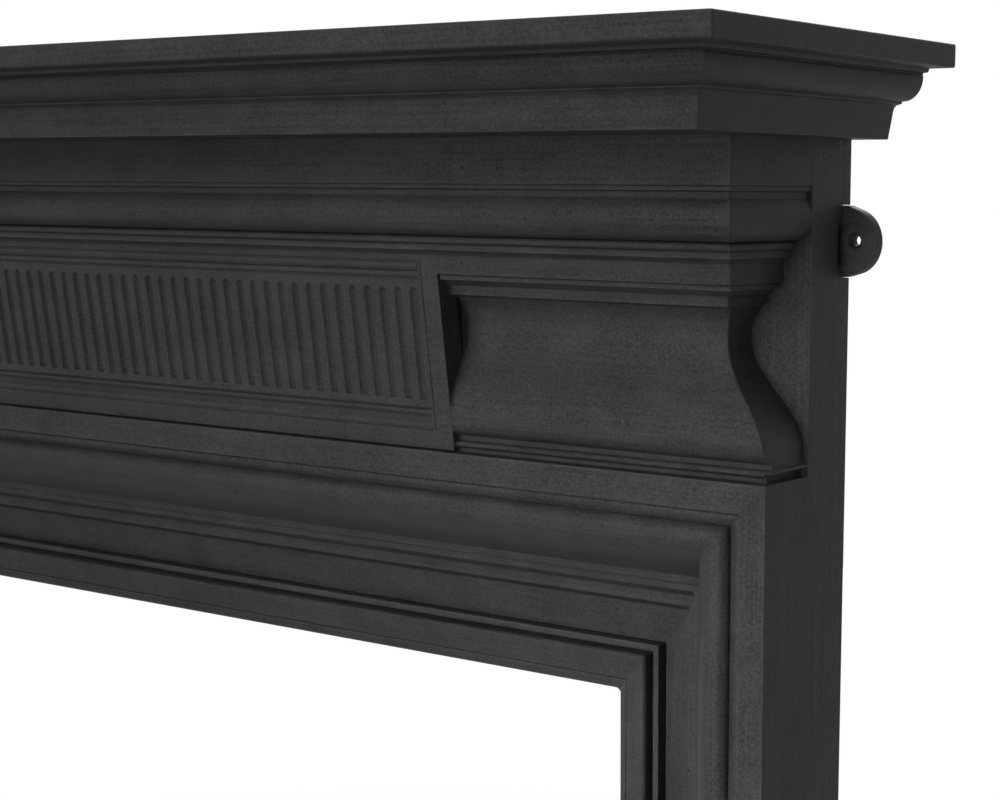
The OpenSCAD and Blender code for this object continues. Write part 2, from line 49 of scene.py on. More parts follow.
# Working frame in millimetres: y = 0 on the face of the legs, z = 0 on their top, x from the centre.
# In a moulding, w is the distance in from the outside of the leg or down from its top.


def boxOf(nodeName):
    low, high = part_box(nodeName)
    return low / mm, high / mm


body = {
    "depth": 90.0,  # of the legs, front to back
    "wall": 8.0,
    "webPitch": 129.5,
    "webThick": 7.0,
}
wall, back = body["wall"], body["depth"]
webPitch, webHalf = body["webPitch"], body["webThick"] / 2
shelfLow, shelfHigh = boxOf("mantel_shelf")
legLow, legHigh = boxOf("right_leg")
plinthLow, plinthHigh = boxOf("right_plinth")
ledge = boxOf("frieze_casting")[0].z
half = legHigh.x
legFace = legHigh.y - back
legBottom = legLow.z - ledge
friezeTop = shelfLow.z - ledge
shelfTop = shelfHigh.z - ledge
floorZ = plinthLow.z - ledge
jambWide = half - boxOf("frame_right")[0].x
print("frame read: body", round(2 * half), "mm wide, opening", round(2 * (half - jambWide)), "mm")


# Outlines

def arcPoints(cx, cy, rx, ry, start, end, steps):
    angles = [math.radians(start + (end - start) * i / steps) for i in range(steps + 1)]
    return [(cx + rx * math.cos(a), cy + ry * math.sin(a)) for a in angles]


def easePoints(u0, u1, z0, z1, steps):
    parts = [i / steps for i in range(steps + 1)]
    return [(u0 + (u1 - u0) * (1 - math.cos(math.pi * t)) / 2, z0 + (z1 - z0) * t) for t in parts]


def softOutline(points, radius=0.6, closed=False, side=1.0, guard=1.5):
    # Rounds each arris and fillet, and gives every point its wear and shade value: above 0 on an arris, for rubbed
    # wear, below 0 in a fillet, for painted shade
    leastTurn, sharpTurn, fullTurn = (math.radians(a) for a in (14, 50, 80))
    soft = []
    count = len(points)
    for i in range(count):
        here = Vector(points[i])
        toPrevious = Vector(points[i - 1]) - here
        toNext = Vector(points[(i + 1) % count]) - here
        turn = math.atan2(-toPrevious.x * toNext.y + toPrevious.y * toNext.x, -toPrevious.dot(toNext))
        if abs(turn) < leastTurn or (not closed and i in (0, count - 1)):
            soft.append((here.x, here.y, 0.0))
            continue
        reach = min(radius * math.tan(abs(turn) / 2), 0.4 * toPrevious.length, 0.4 * toNext.length)
        start = here + toPrevious.normalized() * reach
        end = here + toNext.normalized() * reach
        guarded = 2.2 * (reach + guard)  # a side this long gets a point that keeps the wear and painted shade near its corner
        if toPrevious.length > guarded:
            soft.append((*(start + toPrevious.normalized() * guard), 0.0))
        steps = 2 if abs(turn) < sharpTurn else 4
        wearAndShade = side * math.copysign(min(1.0, abs(turn) / fullTurn), turn)
        for k in range(steps + 1):
            t = k / steps
            point = start * (1 - t) ** 2 + here * 2 * t * (1 - t) + end * t * t
            soft.append((*point, wearAndShade * (0.45 + 2.2 * t * (1 - t))))
        if toNext.length > guarded:
            soft.append((*(end + toNext.normalized() * guard), 0.0))
    return soft


# Solids: a pair of points and faces, in the working frame

def numbered(count, wide):
    # Rows of point numbers, in the order in which the points were made
    return [list(range(i * wide, (i + 1) * wide)) for i in range(count)]


def quads(rows, closed=False):
    # Faces between neighbouring rows of point numbers
    faces = []
    for a, b in zip(rows, rows[1:]):
        wide = len(a)
        steps = wide if closed else wide - 1
        faces += [[a[j], a[(j + 1) % wide], b[(j + 1) % wide], b[j]] for j in range(steps)]
    return faces


def prism(outline, axis, low, high):
    turnTo = {
        "x": lambda a, b, c: (c, a, b),
        "y": lambda a, b, c: (a, c, b),
        "z": lambda a, b, c: (a, b, c),
    }[axis]
    rows = numbered(2, len(outline))
    return [turnTo(p[0], p[1], end) for end in (low, high) for p in outline], quads(rows, True) + rows


def block(low, high):
    outline = [(low[0], low[1]), (high[0], low[1]), (high[0], high[1]), (low[0], high[1])]
    return prism(outline, "z", low[2], high[2])


def rodY(x, z, y0, y1, wide, sides=32):
    return prism(arcPoints(x, z, wide / 2, wide / 2, 0, 360 - 360 / sides, sides - 1), "y", y0, y1)


def coneY(x, z, y0, y1, wide0, wide1, sides=32):
    points, faces = rodY(x, z, y0, y1, wide0, sides)
    scale = wide1 / wide0
    points[sides:] = [(x + (p[0] - x) * scale, p[1], z + (p[2] - z) * scale) for p in points[sides:]]
    return points, faces


def roundedBlock(low, high, radius):
    # Its edges along Y are rounded
    x0, x1, z0, z1 = low[0] + radius, high[0] - radius, low[2] + radius, high[2] - radius
    outline = []
    for k, (x, z) in enumerate(((x1, z1), (x0, z1), (x0, z0), (x1, z0))):
        outline += arcPoints(x, z, radius, radius, 90 * k, 90 * k + 90, 5)
    return prism(outline, "y", low[1], high[1])


def mirrored(solid):
    return [(-x, y, z) for x, y, z in solid[0]], solid[1]


def onSide(side, solid):
    # Solids are made on the right, and mirrored for the left
    return solid if side > 0 else mirrored(solid)


def bothSides(solid):
    return [solid, mirrored(solid)]


def gathered(solids):
    points, faces = [], []
    for solidPoints, solidFaces in solids:
        faces += [[i + len(points) for i in face] for face in solidFaces]
        points += solidPoints
    return points, faces


def toScene(points):
    return [(x * mm, (y + legFace) * mm, (z + ledge) * mm) for x, y, z in points]


def newMesh(name, points, faces=(), edges=()):
    mesh = bpy.data.meshes.new(name)
    mesh.from_pydata(points, edges, faces)
    return mesh


def newObject(name, data):
    item = bpy.data.objects.new(name, data)
    scene.collection.objects.link(item)
    return item


def addWearAndShade(mesh, wearAndShade):
    attribute = mesh.attributes.new("wearAndShade", "FLOAT", "POINT")
    if wearAndShade:
        attribute.data.foreach_set("value", wearAndShade)


def tidyMesh(mesh, merge=1e-6):
    work = bmesh.new()
    work.from_mesh(mesh)
    bmesh.ops.remove_doubles(work, verts=work.verts, dist=merge)
    bmesh.ops.recalc_face_normals(work, faces=work.faces)
    work.to_mesh(mesh)
    work.free()
    mesh.update()


def solidObject(name, points, faces, wearAndShade=None):
    mesh = newMesh(name, toScene(points), faces)
    addWearAndShade(mesh, wearAndShade)
    tidyMesh(mesh)
    return newObject(name, mesh)


def bake(piece):
    # Turns the evaluated object into a plain mesh and drops its modifiers
    graph = bpy.context.evaluated_depsgraph_get()
    mesh = bpy.data.meshes.new_from_object(piece.evaluated_get(graph))
    piece.modifiers.clear()
    piece.data = mesh


def combine(piece, operation, tool):
    modifier = piece.modifiers.new("combine", "BOOLEAN")
    modifier.operation = operation
    modifier.solver = "MANIFOLD"
    modifier.object = tool
    bake(piece)
    bpy.data.objects.remove(tool)


def join(piece, *solids):
    for solid in solids:
        combine(piece, "UNION", solidObject("tool", *solid))


def cut(piece, *solids):
    combine(piece, "DIFFERENCE", solidObject("tool", *gathered(solids)))


def wrapped(levels, backY, radius, leftEnd=None, stops=(), dip=None):
    # A closed body from levels of x, y, z, and front and side values of wear and painted shade
    # Its front turns the corner and runs to the back
    guard = 1.5
    points, wearAndShade = [], []
    for x, y, z, frontWearShade, sideWearShade in levels:
        row = [(x, backY, sideWearShade), (x, y + radius + guard, sideWearShade)]
        for turn in (0, 22.5, 45, 67.5, 90):
            a = math.radians(turn)
            share = math.sin(a)
            worn = sideWearShade * (1 - share) + frontWearShade * share + 0.9 * math.sin(2 * a)
            row.append((x - radius + radius * math.cos(a), y + radius - radius * share, min(1.0, worn)))
        row.append((x - radius - guard, y, frontWearShade))
        row += [(stop, y + (dip(stop, y, z) if dip else 0.0), frontWearShade) for stop in stops]
        if leftEnd is None:
            row += [(-px, py, pw) for px, py, pw in reversed(row) if px > 0]
        else:
            row += [(leftEnd, y, frontWearShade), (leftEnd, backY, 0.0)]
        points += [(px, py, z) for px, py, pw in row]
        wearAndShade += [pw for px, py, pw in row]
    rows = numbered(len(levels), len(points) // len(levels))
    faces = quads(rows) + [rows[0], rows[-1]]
    faces.append([row[0] for row in rows] + [row[-1] for row in reversed(rows)])
    return points, faces, wearAndShade


def matchedLevels(front, side):
    # Joins a front outline (y, z, wear and shade) and a side outline (x, z, wear and shade), both from the top
    # down
    heights = sorted({round(p[1], 4) for p in front + side}, reverse=True)
    levels = []
    frontZ, sideZ = [-p[1] for p in front], [-p[1] for p in side]
    for z in heights:
        y, frontWearShade = [float(np.interp(-z, frontZ, [p[k] for p in front])) for k in (0, 2)]
        x, sideWearShade = [float(np.interp(-z, sideZ, [p[k] for p in side])) for k in (0, 2)]
        levels.append((x, y, z, frontWearShade, sideWearShade))
    return levels


# Nodes

def addNode(tree, kind, operation=None, dataType=None, **sockets):
    # A socket is named with _ for a space, or numbered i0, i1
    # A node given as a value stands for its first output
    node = tree.nodes.new(kind)
    if operation:
        node.operation = operation
    if dataType:
        node.data_type = dataType
    for name, value in sockets.items():
        key = int(name[1:]) if name[0] == "i" and name[1:].isdigit() else name.replace("_", " ")
        if isinstance(value, bpy.types.Node):
            value = value.outputs[0]
        if isinstance(value, bpy.types.NodeSocket):
            tree.links.new(value, node.inputs[key])
        else:
            node.inputs[key].default_value = value
    return node


def mathsIn(tree):
    def maths(operation, a, b):
        return addNode(tree, "ShaderNodeMath", operation, i0=a, i1=b)

    return maths


def newTree(name, inputs):
    tree = bpy.data.node_groups.new(name, "GeometryNodeTree")
    tree.interface.new_socket("Geometry", in_out="INPUT", socket_type="NodeSocketGeometry")
    for label, kind, value in inputs:
        socket = tree.interface.new_socket(label, in_out="INPUT", socket_type="NodeSocket" + kind)
        if value is not None:
            socket.default_value = value
    tree.interface.new_socket("Geometry", in_out="OUTPUT", socket_type="NodeSocketGeometry")
    return tree, tree.nodes.new("NodeGroupInput").outputs


def endTree(tree, geometry, material):
    real = addNode(tree, "GeometryNodeRealizeInstances", Geometry=geometry)
    painted = addNode(tree, "GeometryNodeSetMaterial", Geometry=real, Material=material)
    addNode(tree, "NodeGroupOutput", i0=painted)
    return tree


def runTree(piece, tree, values):
    modifier = piece.modifiers.new(tree.name, "NODES")
    modifier.node_group = tree
    for item in tree.interface.items_tree:
        if item.item_type == "SOCKET" and item.in_out == "INPUT" and item.name in values:
            modifier[item.identifier] = values[item.name]
    bake(piece)
    tidyMesh(piece.data)
    return piece


def mouldingRunTree():
    # Runs a closed section (w, y) along a straight line and shears its two ends to their mitres
    tree, given = newTree("mouldingRun", [
        ("Start", "Float", 0.0), ("Start Mitre", "Float", 0.0),
        ("End", "Float", 100.0), ("End Mitre", "Float", 0.0), ("Stations", "Int", 8),
        ("Along", "Vector", None), ("Across", "Vector", None), ("Corner", "Vector", None),
        ("Unit", "Float", mm), ("Material", "Material", None),
    ])
    section = addNode(tree, "GeometryNodeMeshToCurve", Mesh=given["Geometry"])
    path = addNode(tree, "GeometryNodeCurvePrimitiveLine", End=(0, 0, 1))
    stations = addNode(tree, "GeometryNodeResampleCurve", Curve=path, Count=given["Stations"])
    swept = addNode(tree, "GeometryNodeCurveToMesh", Curve=stations, Profile_Curve=section, Fill_Caps=True)
    place = addNode(tree, "ShaderNodeSeparateXYZ", Vector=addNode(tree, "GeometryNodeInputPosition"))
    w, y, t = place.outputs
    maths = mathsIn(tree)

    def times(vector, amount):
        return addNode(tree, "ShaderNodeVectorMath", "SCALE", i0=vector, Scale=amount)

    def plus(a, b):
        return addNode(tree, "ShaderNodeVectorMath", "ADD", i0=a, i1=b)

    start = maths("ADD", given["Start"], maths("MULTIPLY", given["Start Mitre"], w))
    end = maths("ADD", given["End"], maths("MULTIPLY", given["End Mitre"], w))
    run = maths("ADD", start, maths("MULTIPLY", maths("SUBTRACT", end, start), t))
    depth = addNode(tree, "ShaderNodeCombineXYZ", Y=y)
    offset = plus(plus(times(given["Along"], run), times(given["Across"], w)), depth)
    position = plus(times(offset, given["Unit"]), given["Corner"])
    moved = addNode(tree, "GeometryNodeSetPosition", Geometry=swept, Position=position)
    return endTree(tree, moved, given["Material"])


def rowTree():
    # Repeats one tile in a row and welds the tiles where they meet
    tree, given = newTree("flutedRow", [
        ("Count", "Int", 3), ("Start", "Vector", None), ("Pitch", "Vector", None),
        ("Weld", "Float", 1e-5), ("Material", "Material", None),
    ])
    line = addNode(tree, "GeometryNodeMeshLine", Count=given["Count"],
                   Start_Location=given["Start"], Offset=given["Pitch"])
    tiles = addNode(tree, "GeometryNodeInstanceOnPoints", Points=line, Instance=given["Geometry"])
    real = addNode(tree, "GeometryNodeRealizeInstances", Geometry=tiles)
    welded = addNode(tree, "GeometryNodeMergeByDistance", Geometry=real, Distance=given["Weld"])
    return endTree(tree, welded, given["Material"])


def fixingTree():
    # Puts one fixing at every point of the mesh it is given
    tree, given = newTree("fixingSet", [
        ("Fixing", "Object", None), ("Turn", "Vector", None), ("Material", "Material", None),
    ])
    pattern = addNode(tree, "GeometryNodeObjectInfo", Object=given["Fixing"])
    turn = addNode(tree, "FunctionNodeEulerToRotation", Euler=given["Turn"])
    placed = addNode(tree, "GeometryNodeInstanceOnPoints", Points=given["Geometry"],
                     Instance=pattern.outputs["Geometry"], Rotation=turn)
    return endTree(tree, placed, given["Material"])


mouldingRun = mouldingRunTree()
flutedRow = rowTree()
fixingSet = fixingTree()


# Finishes

ironLook = {
    "dark": (0.012, 0.012, 0.0123, 1),
    "light": (0.055, 0.055, 0.056, 1),
    "worn": (0.105, 0.105, 0.107, 1),
    # painted shade, the colour laid into fillets and creases
    "creviceShade": (0.006, 0.006, 0.006, 1),
    "pit": (0.003, 0.003, 0.003, 1),
    "specular": 0.12,
    "rough": (0.46, 0.68),
    "tone": 0.55,  # between dark and light, before the noises
    "markScale": (9.0, 620.0),  # of the rubbing marks, along and across
    "broad": (7.0, 3.0, 0.55),  # scale, detail and roughness of each noise
    "cloud": (45.0, 3.0, 0.6),
    "sand": (700.0, 3.0, 0.65),
    "speck": (420.0, 1.0, 0.5),
    "pitScale": 28.0,
    "streakDepth": 0.00009,
    "grainDepth": 0.0001,
    "castDepth": 0.0004,
    "pitDepth": 0.0005,
    "streaks": 1.0,
}


def mapRange(tree, value, low, high, toLow, toHigh):
    return addNode(tree, "ShaderNodeMapRange", Value=value, From_Min=low, From_Max=high,
                   To_Min=toLow, To_Max=toHigh)


def mixColour(tree, factor, a, b):
    return addNode(tree, "ShaderNodeMix", dataType="RGBA", i0=factor, i6=a, i7=b).outputs[2]


def bumpNode(tree, height, distance, normal=None, strength=1.0):
    under = {} if normal is None else {"Normal": normal}
    return addNode(tree, "ShaderNodeBump", Height=height, Distance=distance, Strength=strength, **under)


def noiseNode(tree, vector, scale, detail, rough):
    return addNode(tree, "ShaderNodeTexNoise", Vector=vector, Scale=scale, Detail=detail, Roughness=rough)


def newMaterial(name):
    material = bpy.data.materials.new(name)
    material.use_nodes = True
    tree = material.node_tree
    tree.nodes.clear()
    return material, tree, tree.nodes.new("ShaderNodeTexCoord").outputs["Object"]


def blackIron(name, grain, **changes):
    # Matt black finish over cast iron, with painted shade in its fillets and creases. grain is the direction of
    # the rubbing marks: "x", "y" or "z"
    look = {**ironLook, **changes}
    material, tree, place = newMaterial(name)
    maths = mathsIn(tree)
    along, across = look["markScale"]
    scale = [along if axis == grain else across for axis in "xyz"]
    rubbed = addNode(tree, "ShaderNodeMapping", Vector=place, Scale=scale)
    streak = noiseNode(tree, rubbed, 1.0, 3.0, 0.6)
    noises = [noiseNode(tree, place, *look[key]) for key in ("broad", "cloud", "sand", "speck")]
    broad, cloud, sand, speck = noises
    pitCell = addNode(tree, "ShaderNodeTexVoronoi", Vector=place, Scale=look["pitScale"])
    pit = mapRange(tree, pitCell.outputs["Distance"], 0.018, 0.034, 1.0, 0.0)
    # The wear and shade attribute, carried on as worn: above 0 on arrises for rubbed wear, below 0 in fillets for
    # painted shade
    wearAndShade = tree.nodes.new("ShaderNodeAttribute")
    wearAndShade.attribute_name = "wearAndShade"
    worn = wearAndShade.outputs["Fac"]

    tone = look["tone"]
    for noise, amount in ((broad, 0.24), (streak, 0.48 * look["streaks"]), (cloud, 0.24), (sand, 0.80)):
        tone = maths("ADD", tone, maths("MULTIPLY", mapRange(tree, noise, 0.3, 0.7, -0.5, 0.5), amount))
    colour = mixColour(tree, tone, look["dark"], look["light"])
    patchy = mapRange(tree, cloud, 0.35, 0.6, 0.35, 1.0)
    rubbedEdge = maths("MULTIPLY", mapRange(tree, worn, 0.25, 1.0, 0.0, 0.34), patchy)
    colour = mixColour(tree, rubbedEdge, colour, look["worn"])
    # Painted shade: where the wear and shade value is below 0, in fillets and creases, the colour darkens towards
    # the crevice shade colour
    colour = mixColour(tree, mapRange(tree, worn, -0.1, -0.75, 0.0, 0.62), colour, look["creviceShade"])
    colour = mixColour(tree, maths("MULTIPLY", pit, 0.8), colour, look["pit"])

    rough = maths("ADD", maths("MULTIPLY", streak, 0.5), maths("MULTIPLY", sand, 0.5))
    rough = mapRange(tree, rough, 0.35, 0.65, *look["rough"])

    normal = bumpNode(tree, broad, look["castDepth"])
    normal = bumpNode(tree, cloud, look["castDepth"] * 0.35, normal)
    normal = bumpNode(tree, speck, look["grainDepth"] * 1.6, normal)
    normal = bumpNode(tree, streak, look["streakDepth"], normal, look["streaks"])
    normal = bumpNode(tree, sand, look["grainDepth"], normal)
    normal = bumpNode(tree, maths("SUBTRACT", 1.0, pit), look["pitDepth"], normal)
    shader = addNode(tree, "ShaderNodeBsdfPrincipled", Base_Color=colour, Roughness=rough, Normal=normal,
                     Specular_IOR_Level=look["specular"])
    addNode(tree, "ShaderNodeOutputMaterial", Surface=shader)
    return material


def dullSteel(name, colour, spots):
    # Dull plated steel with a brushed face and a few brown spots
    material, tree, place = newMaterial(name)
    rubbed = addNode(tree, "ShaderNodeMapping", Vector=place, Scale=(900, 900, 70))
    streak = noiseNode(tree, rubbed, 1.0, 3.0, 0.6)
    cloud = noiseNode(tree, place, 160.0, 3.0, 0.6)
    sand = noiseNode(tree, place, 1500.0, 2.0, 0.6)
    darker = tuple(c * 0.55 for c in colour[:3]) + (1,)
    tint = mixColour(tree, mapRange(tree, cloud, 0.3, 0.7, 0.0, 1.0), darker, colour)
    tint = mixColour(tree, mapRange(tree, cloud, 0.60, 0.72, 0.0, spots), tint, (0.10, 0.055, 0.030, 1))
    normal = bumpNode(tree, sand, 0.00002, bumpNode(tree, streak, 0.00003))
    shader = addNode(tree, "ShaderNodeBsdfPrincipled", Base_Color=tint, Normal=normal, Metallic=0.8,
                     Roughness=mapRange(tree, streak, 0.3, 0.7, 0.36, 0.58))
    addNode(tree, "ShaderNodeOutputMaterial", Surface=shader)
    return material


finishes = {
    "shelf": blackIron("shelfIron", "x"),
    "frieze": blackIron("friezeIron", "x", streaks=0.7),
    "tablet": blackIron("tabletIron", "x", streaks=0.5, grainDepth=0.00009),
    "header": blackIron("headerIron", "x", streaks=0.7, grainDepth=0.00014),
    "leg": blackIron("legIron", "z", streaks=0.7, grainDepth=0.00012),
    "plinth": blackIron("plinthIron", "x", streaks=0.4),
    "frameHead": blackIron("frameHeadIron", "x", streaks=0.7),
    "frameSide": blackIron("frameSideIron", "z", streaks=0.7),
    "lug": blackIron("lugIron", "z", streaks=0.2, castDepth=0.0009, grainDepth=0.00012),
    "cleat": dullSteel("cleatSteel", (0.13, 0.13, 0.135, 1), 0.2),
    "fixing": dullSteel("fixingSteel", (0.20, 0.20, 0.205, 1), 0.35),
}
print("finishes made")


def finishPiece(piece, look, slot, *nodes, sharp=36):
    mesh = piece.data
    count = len(mesh.polygons)
    mesh.materials.clear()
    mesh.materials.append(finishes[look])
    mesh.polygons.foreach_set("material_index", [0] * count)
    mesh.polygons.foreach_set("use_smooth", [True] * count)
    mesh.set_sharp_from_angle(angle=math.radians(sharp))
    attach(piece, "root")
    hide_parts(*nodes)
    print("made", piece.name, count, "faces")


# Shelf

shelf = {
    "slab": 13.0,
    "mitre": 0.82,  # how far the side profile steps in for each millimetre of the front one
    "edge": 1.5,
    "hollowIn": 53.0,
    "bayCorner": 4.0,
    "corner": 1.3,
}
shelfHalf = shelfHigh.x
shelfOut = legFace - shelfLow.y
slabBottom = shelfTop - shelf["slab"]


def shelfEdge():
    # Distance in from the face of the slab, and height, from the top down
    e = shelf["edge"]
    z = friezeTop
    return (
        [(60, shelfTop)] + arcPoints(e, shelfTop - e, e, e, 90, 180, 6)
        + arcPoints(e, slabBottom + e, e, e, 180, 270, 6)
        + [(19.5, slabBottom), (20.3, slabBottom - 2), (24.6, slabBottom - 2.5)]
        + arcPoints(39, slabBottom - 4.5, 15, 13.4, 180, 262, 16)
        + [(40, z + 21.1), (40.2, z + 19.8), (44, z + 19.1), (46, z + 17.8), (46.9, z + 15.4), (47.7, z + 11.4)]
        + [(50.5, z), (60, z)]
    )


def makeShelf():
    outline = softOutline(shelfEdge(), 0.7)
    levels = [(shelfHalf - shelf["mitre"] * d, d - shelfOut, z, worn, worn) for d, z, worn in outline]
    stops = [i * webPitch for i in range(4, -1, -1)]
    piece = solidObject("mantelShelf", *wrapped(levels, back, shelf["corner"], stops=stops))
    hollowHalf = shelfHalf - shelf["mitre"] * shelf["hollowIn"]
    bays = []
    for bay in range(-5, 5):
        x0 = max(bay * webPitch + webHalf, -hollowHalf)
        x1 = min((bay + 1) * webPitch - webHalf, hollowHalf)
        low, high = (x0, shelf["hollowIn"] - shelfOut, friezeTop + wall), (x1, back + 1, slabBottom)
        bays.append(roundedBlock(low, high, shelf["bayCorner"]))
    cut(piece, *bays)
    finishPiece(piece, "shelf", "shelf_iron", "mantel_shelf")


# Frieze

frieze = {
    "bandOut": 39.5,
    "torusZ": 148.0,
    "scotiaZ": 78.0,
    "scotiaY": 20.5,
    "bulgeY": 2.2,
    "flatTop": 122.5,
    "flatBottom": 111.0,
    "stepZ": 97.2,
    "stopY": 46.0,
    "flangeY": 60.0,
    "flangeIn": 53.4,
    "corner": 1.4,
    "fillet": 3.0,  # where the hollow meets the end of the tablet
}
tablet = {
    "half": 394.0,
    "seatY": 14.0,
    "faceY": 4.7,
    "lean": 0.1285,
    "foot": 1.0,
    "fieldHalf": 377.5,
    "border": 13.0,
    "fieldDeep": 3.4,
    "endDeep": 16.0,
    "flutes": 59,
    "pitch": 12.75,
    "fluteWide": 6.6,
    "fluteDeep": 2.4,
    "fluteTop": 102.0,
    "fluteFoot": 31.3,
}


def leaning(z):
    return tablet["faceY"] - tablet["lean"] * z


def friezeFront():
    out, torus, z = -frieze["bandOut"], frieze["torusZ"], frieze["flatTop"]
    low = frieze["flatBottom"]
    return (
        [(out, friezeTop), (out, 165.4), (out + 1.3, 165), (out + 1.3, 162.5), (out + 3.4, 162), (out + 3.4, 158)]
        + arcPoints(out + 16, torus, 16.4, 16.4, 142, 178, 8)
        + arcPoints(out + 16, torus, 16.4, 13, 180, 268, 16)
        + arcPoints(-22, 132.2, 2.3, 2.3, 90, 270, 8)
        + [(-19.5, 129.5), (-19.5, 125.6), (-15, 125), (-12.6, 123.8), (leaning(z), z), (leaning(low), low)]
        + [(-7.2, 110.7), (-7, 107.6), (-1.5, 107), (1, 105.3), (3.6, 104.2), (4.6, 98), (9, frieze["stepZ"])]
        + arcPoints(frieze["scotiaY"] - 26, frieze["scotiaZ"], 26, 26, 45, 4, 12)
        + easePoints(frieze["bulgeY"], frieze["scotiaY"], 22, frieze["scotiaZ"], 26)[::-1]
        + arcPoints(frieze["bulgeY"] + 12, 22, 12, 12, 190, 248, 9)
        + [(10.4, 10.4), (10.4, 7.1), (8.2, 6.7), (7.2, 5.3), (7.6, 3.8), (9.6, 3), (10.5, 2.8), (10.5, 0)]
    )


def friezeSide():
    torus, z, low = frieze["torusZ"], frieze["flatTop"], frieze["flatBottom"]
    outline = (
        [(0, friezeTop), (0, 165.4), (-0.8, 165), (-0.8, 162.5), (-2.6, 162), (-2.6, 158)]
        + arcPoints(-10.5, torus, 10.5, 15.5, 38, 3, 8)
        + arcPoints(-10.5, torus, 10.5, 13, 0, -86, 14)
        + arcPoints(-11.5, 132.2, 1.6, 2.3, 90, -90, 8)
        + [(-12.6, 129.5), (-12.6, 125.6), (-15.4, 125), (-17, 123.8), (-18, z)]
        + [(-18.4, low), (-20, 110.7), (-20.2, 107.6), (-23.6, 107), (-26.4, 104.4)]
        + [(-28.6, 103.6), (-29.4, 98), (-31.6, frieze["stepZ"])]
        + arcPoints(-11.5, frieze["scotiaZ"], 28, 28, 136, 176, 12)
        + easePoints(-3.4, -39.5, 17, frieze["scotiaZ"], 26)[::-1]
        + [(-3.5, 12)] + arcPoints(0, 12, 3.5, 4.6, 190, 270, 6)
        + [(0, 5.6), (-6, 5.4), (-6, 0)]
    )
    return [(half + p[0], p[1]) for p in outline]


def friezeInside():
    # Casting line of the hollow, one wall behind the front
    return [
        (wall - frieze["bandOut"], 184), (wall - frieze["bandOut"], 150), (-27, 142), (-15, 135),
        (-4, 130), (10.5, 125), (12.5, 104), (20, 98), (28.5, 90), (29, 70), (21, 57),
        (13, 44), (8.5, 32), (9.5, 21), (19, wall),
    ]


def friezeSideInside():
    inside = [
        (-8, 184), (-8, 150), (-12, 142), (-21, 134), (-27, 124), (-38, 104), (-48, 92), (-48, 68),
        (-40, 55), (-27, 42), (-16, 32), (-12, 20), (-15, wall),
    ]
    return [(half + p[0], p[1]) for p in inside]


def tabletFillet(x, y, z):
    # Draws the frieze forward in a small fillet against the end of the tablet
    radius = frieze["fillet"]
    away = abs(x) - tablet["half"]
    if away >= radius or z > frieze["flatBottom"] - 4:
        return 0.0
    rise = radius - math.sqrt(max(0.0, radius ** 2 - (radius - max(away, 0.0)) ** 2))
    return -max(0.0, min(rise, y - leaning(z) - 0.4))


def makeFrieze():
    edge, seat, stop, flatTop = tablet["half"], tablet["seatY"], frieze["stopY"], frieze["flatTop"]
    levels = matchedLevels(softOutline(friezeFront()), softOutline(friezeSide(), side=-1.0))
    near = [edge + frieze["fillet"] * part for part in (1.0, 0.7, 0.45, 0.25, 0.1, 0.0)]
    stops = [edge + 120, edge + 60] + near + [edge - 3, edge - 130, edge - 260, 0.0]
    solid = wrapped(levels, stop, frieze["corner"], stops=stops, dip=tabletFillet)
    piece = solidObject("friezeCasting", *solid)
    flange = half - frieze["flangeIn"]
    cut(piece, block((-edge, -60, -1), (edge, seat, flatTop)))
    join(piece, block((-edge, seat, 0), (edge, stop, flatTop)))
    for z in (0, friezeTop - wall):
        join(piece, block((-flange, stop - 1, z), (flange, frieze["flangeY"], z + wall)))
    levels = matchedLevels(softOutline(friezeInside(), 3.0), softOutline(friezeSideInside(), 3.0, side=-1.0))
    hollow = solidObject("hollow", *wrapped(levels, frieze["flangeY"] + 2, 4.0))
    webs = [i * webPitch for i in range(-4, 5)]
    cut(hollow, *[block((x - webHalf, -60, -1), (x + webHalf, stop, 200)) for x in webs])
    cut(hollow, block((-edge - wall, -60, -1), (edge + wall, seat + wall, flatTop + wall)))
    combine(piece, "DIFFERENCE", hollow)
    finishPiece(piece, "frieze", "frieze_iron", "frieze_casting")


# Fluted tablet

def tabletMouldings():
    # Depth behind the leaning face, and height, from the top down
    field = tablet["fieldDeep"]
    top = [(0, 122.5), (0, 118.9), (0.9, 118.6), (0.9, 117.4), (0.2, 117), (0.5, 114.6), (1.6, 113), (3.2, 112),
           (2.7, 111.4), (2.7, 109), (4.2, 108.6), (4.2, 107.2), (3.6, 106.9), (3.6, 105.8), (field, 105.2)]
    foot = [(field, 26.6), (4.4, 26.3), (4.4, 25.3), (2.9, 24.9), (2.6, 23.8), (2.9, 22.6), (4.4, 22.2), (4.4, 21),
            (3.7, 20.6), (2.6, 18.8), (1.1, 17), (0.5, 15.2), (0.5, 14.2), (0.9, 13.8), (0.9, 12.6), (0, 12.2),
            (0, tablet["foot"])]
    return top, foot


def fluteDepth(reach):
    wide, deep = tablet["fluteWide"], tablet["fluteDeep"]
    radius = (wide * wide / 4 + deep * deep) / (2 * deep)
    return math.sqrt(max(0.0, radius ** 2 - reach ** 2)) - (radius - deep)


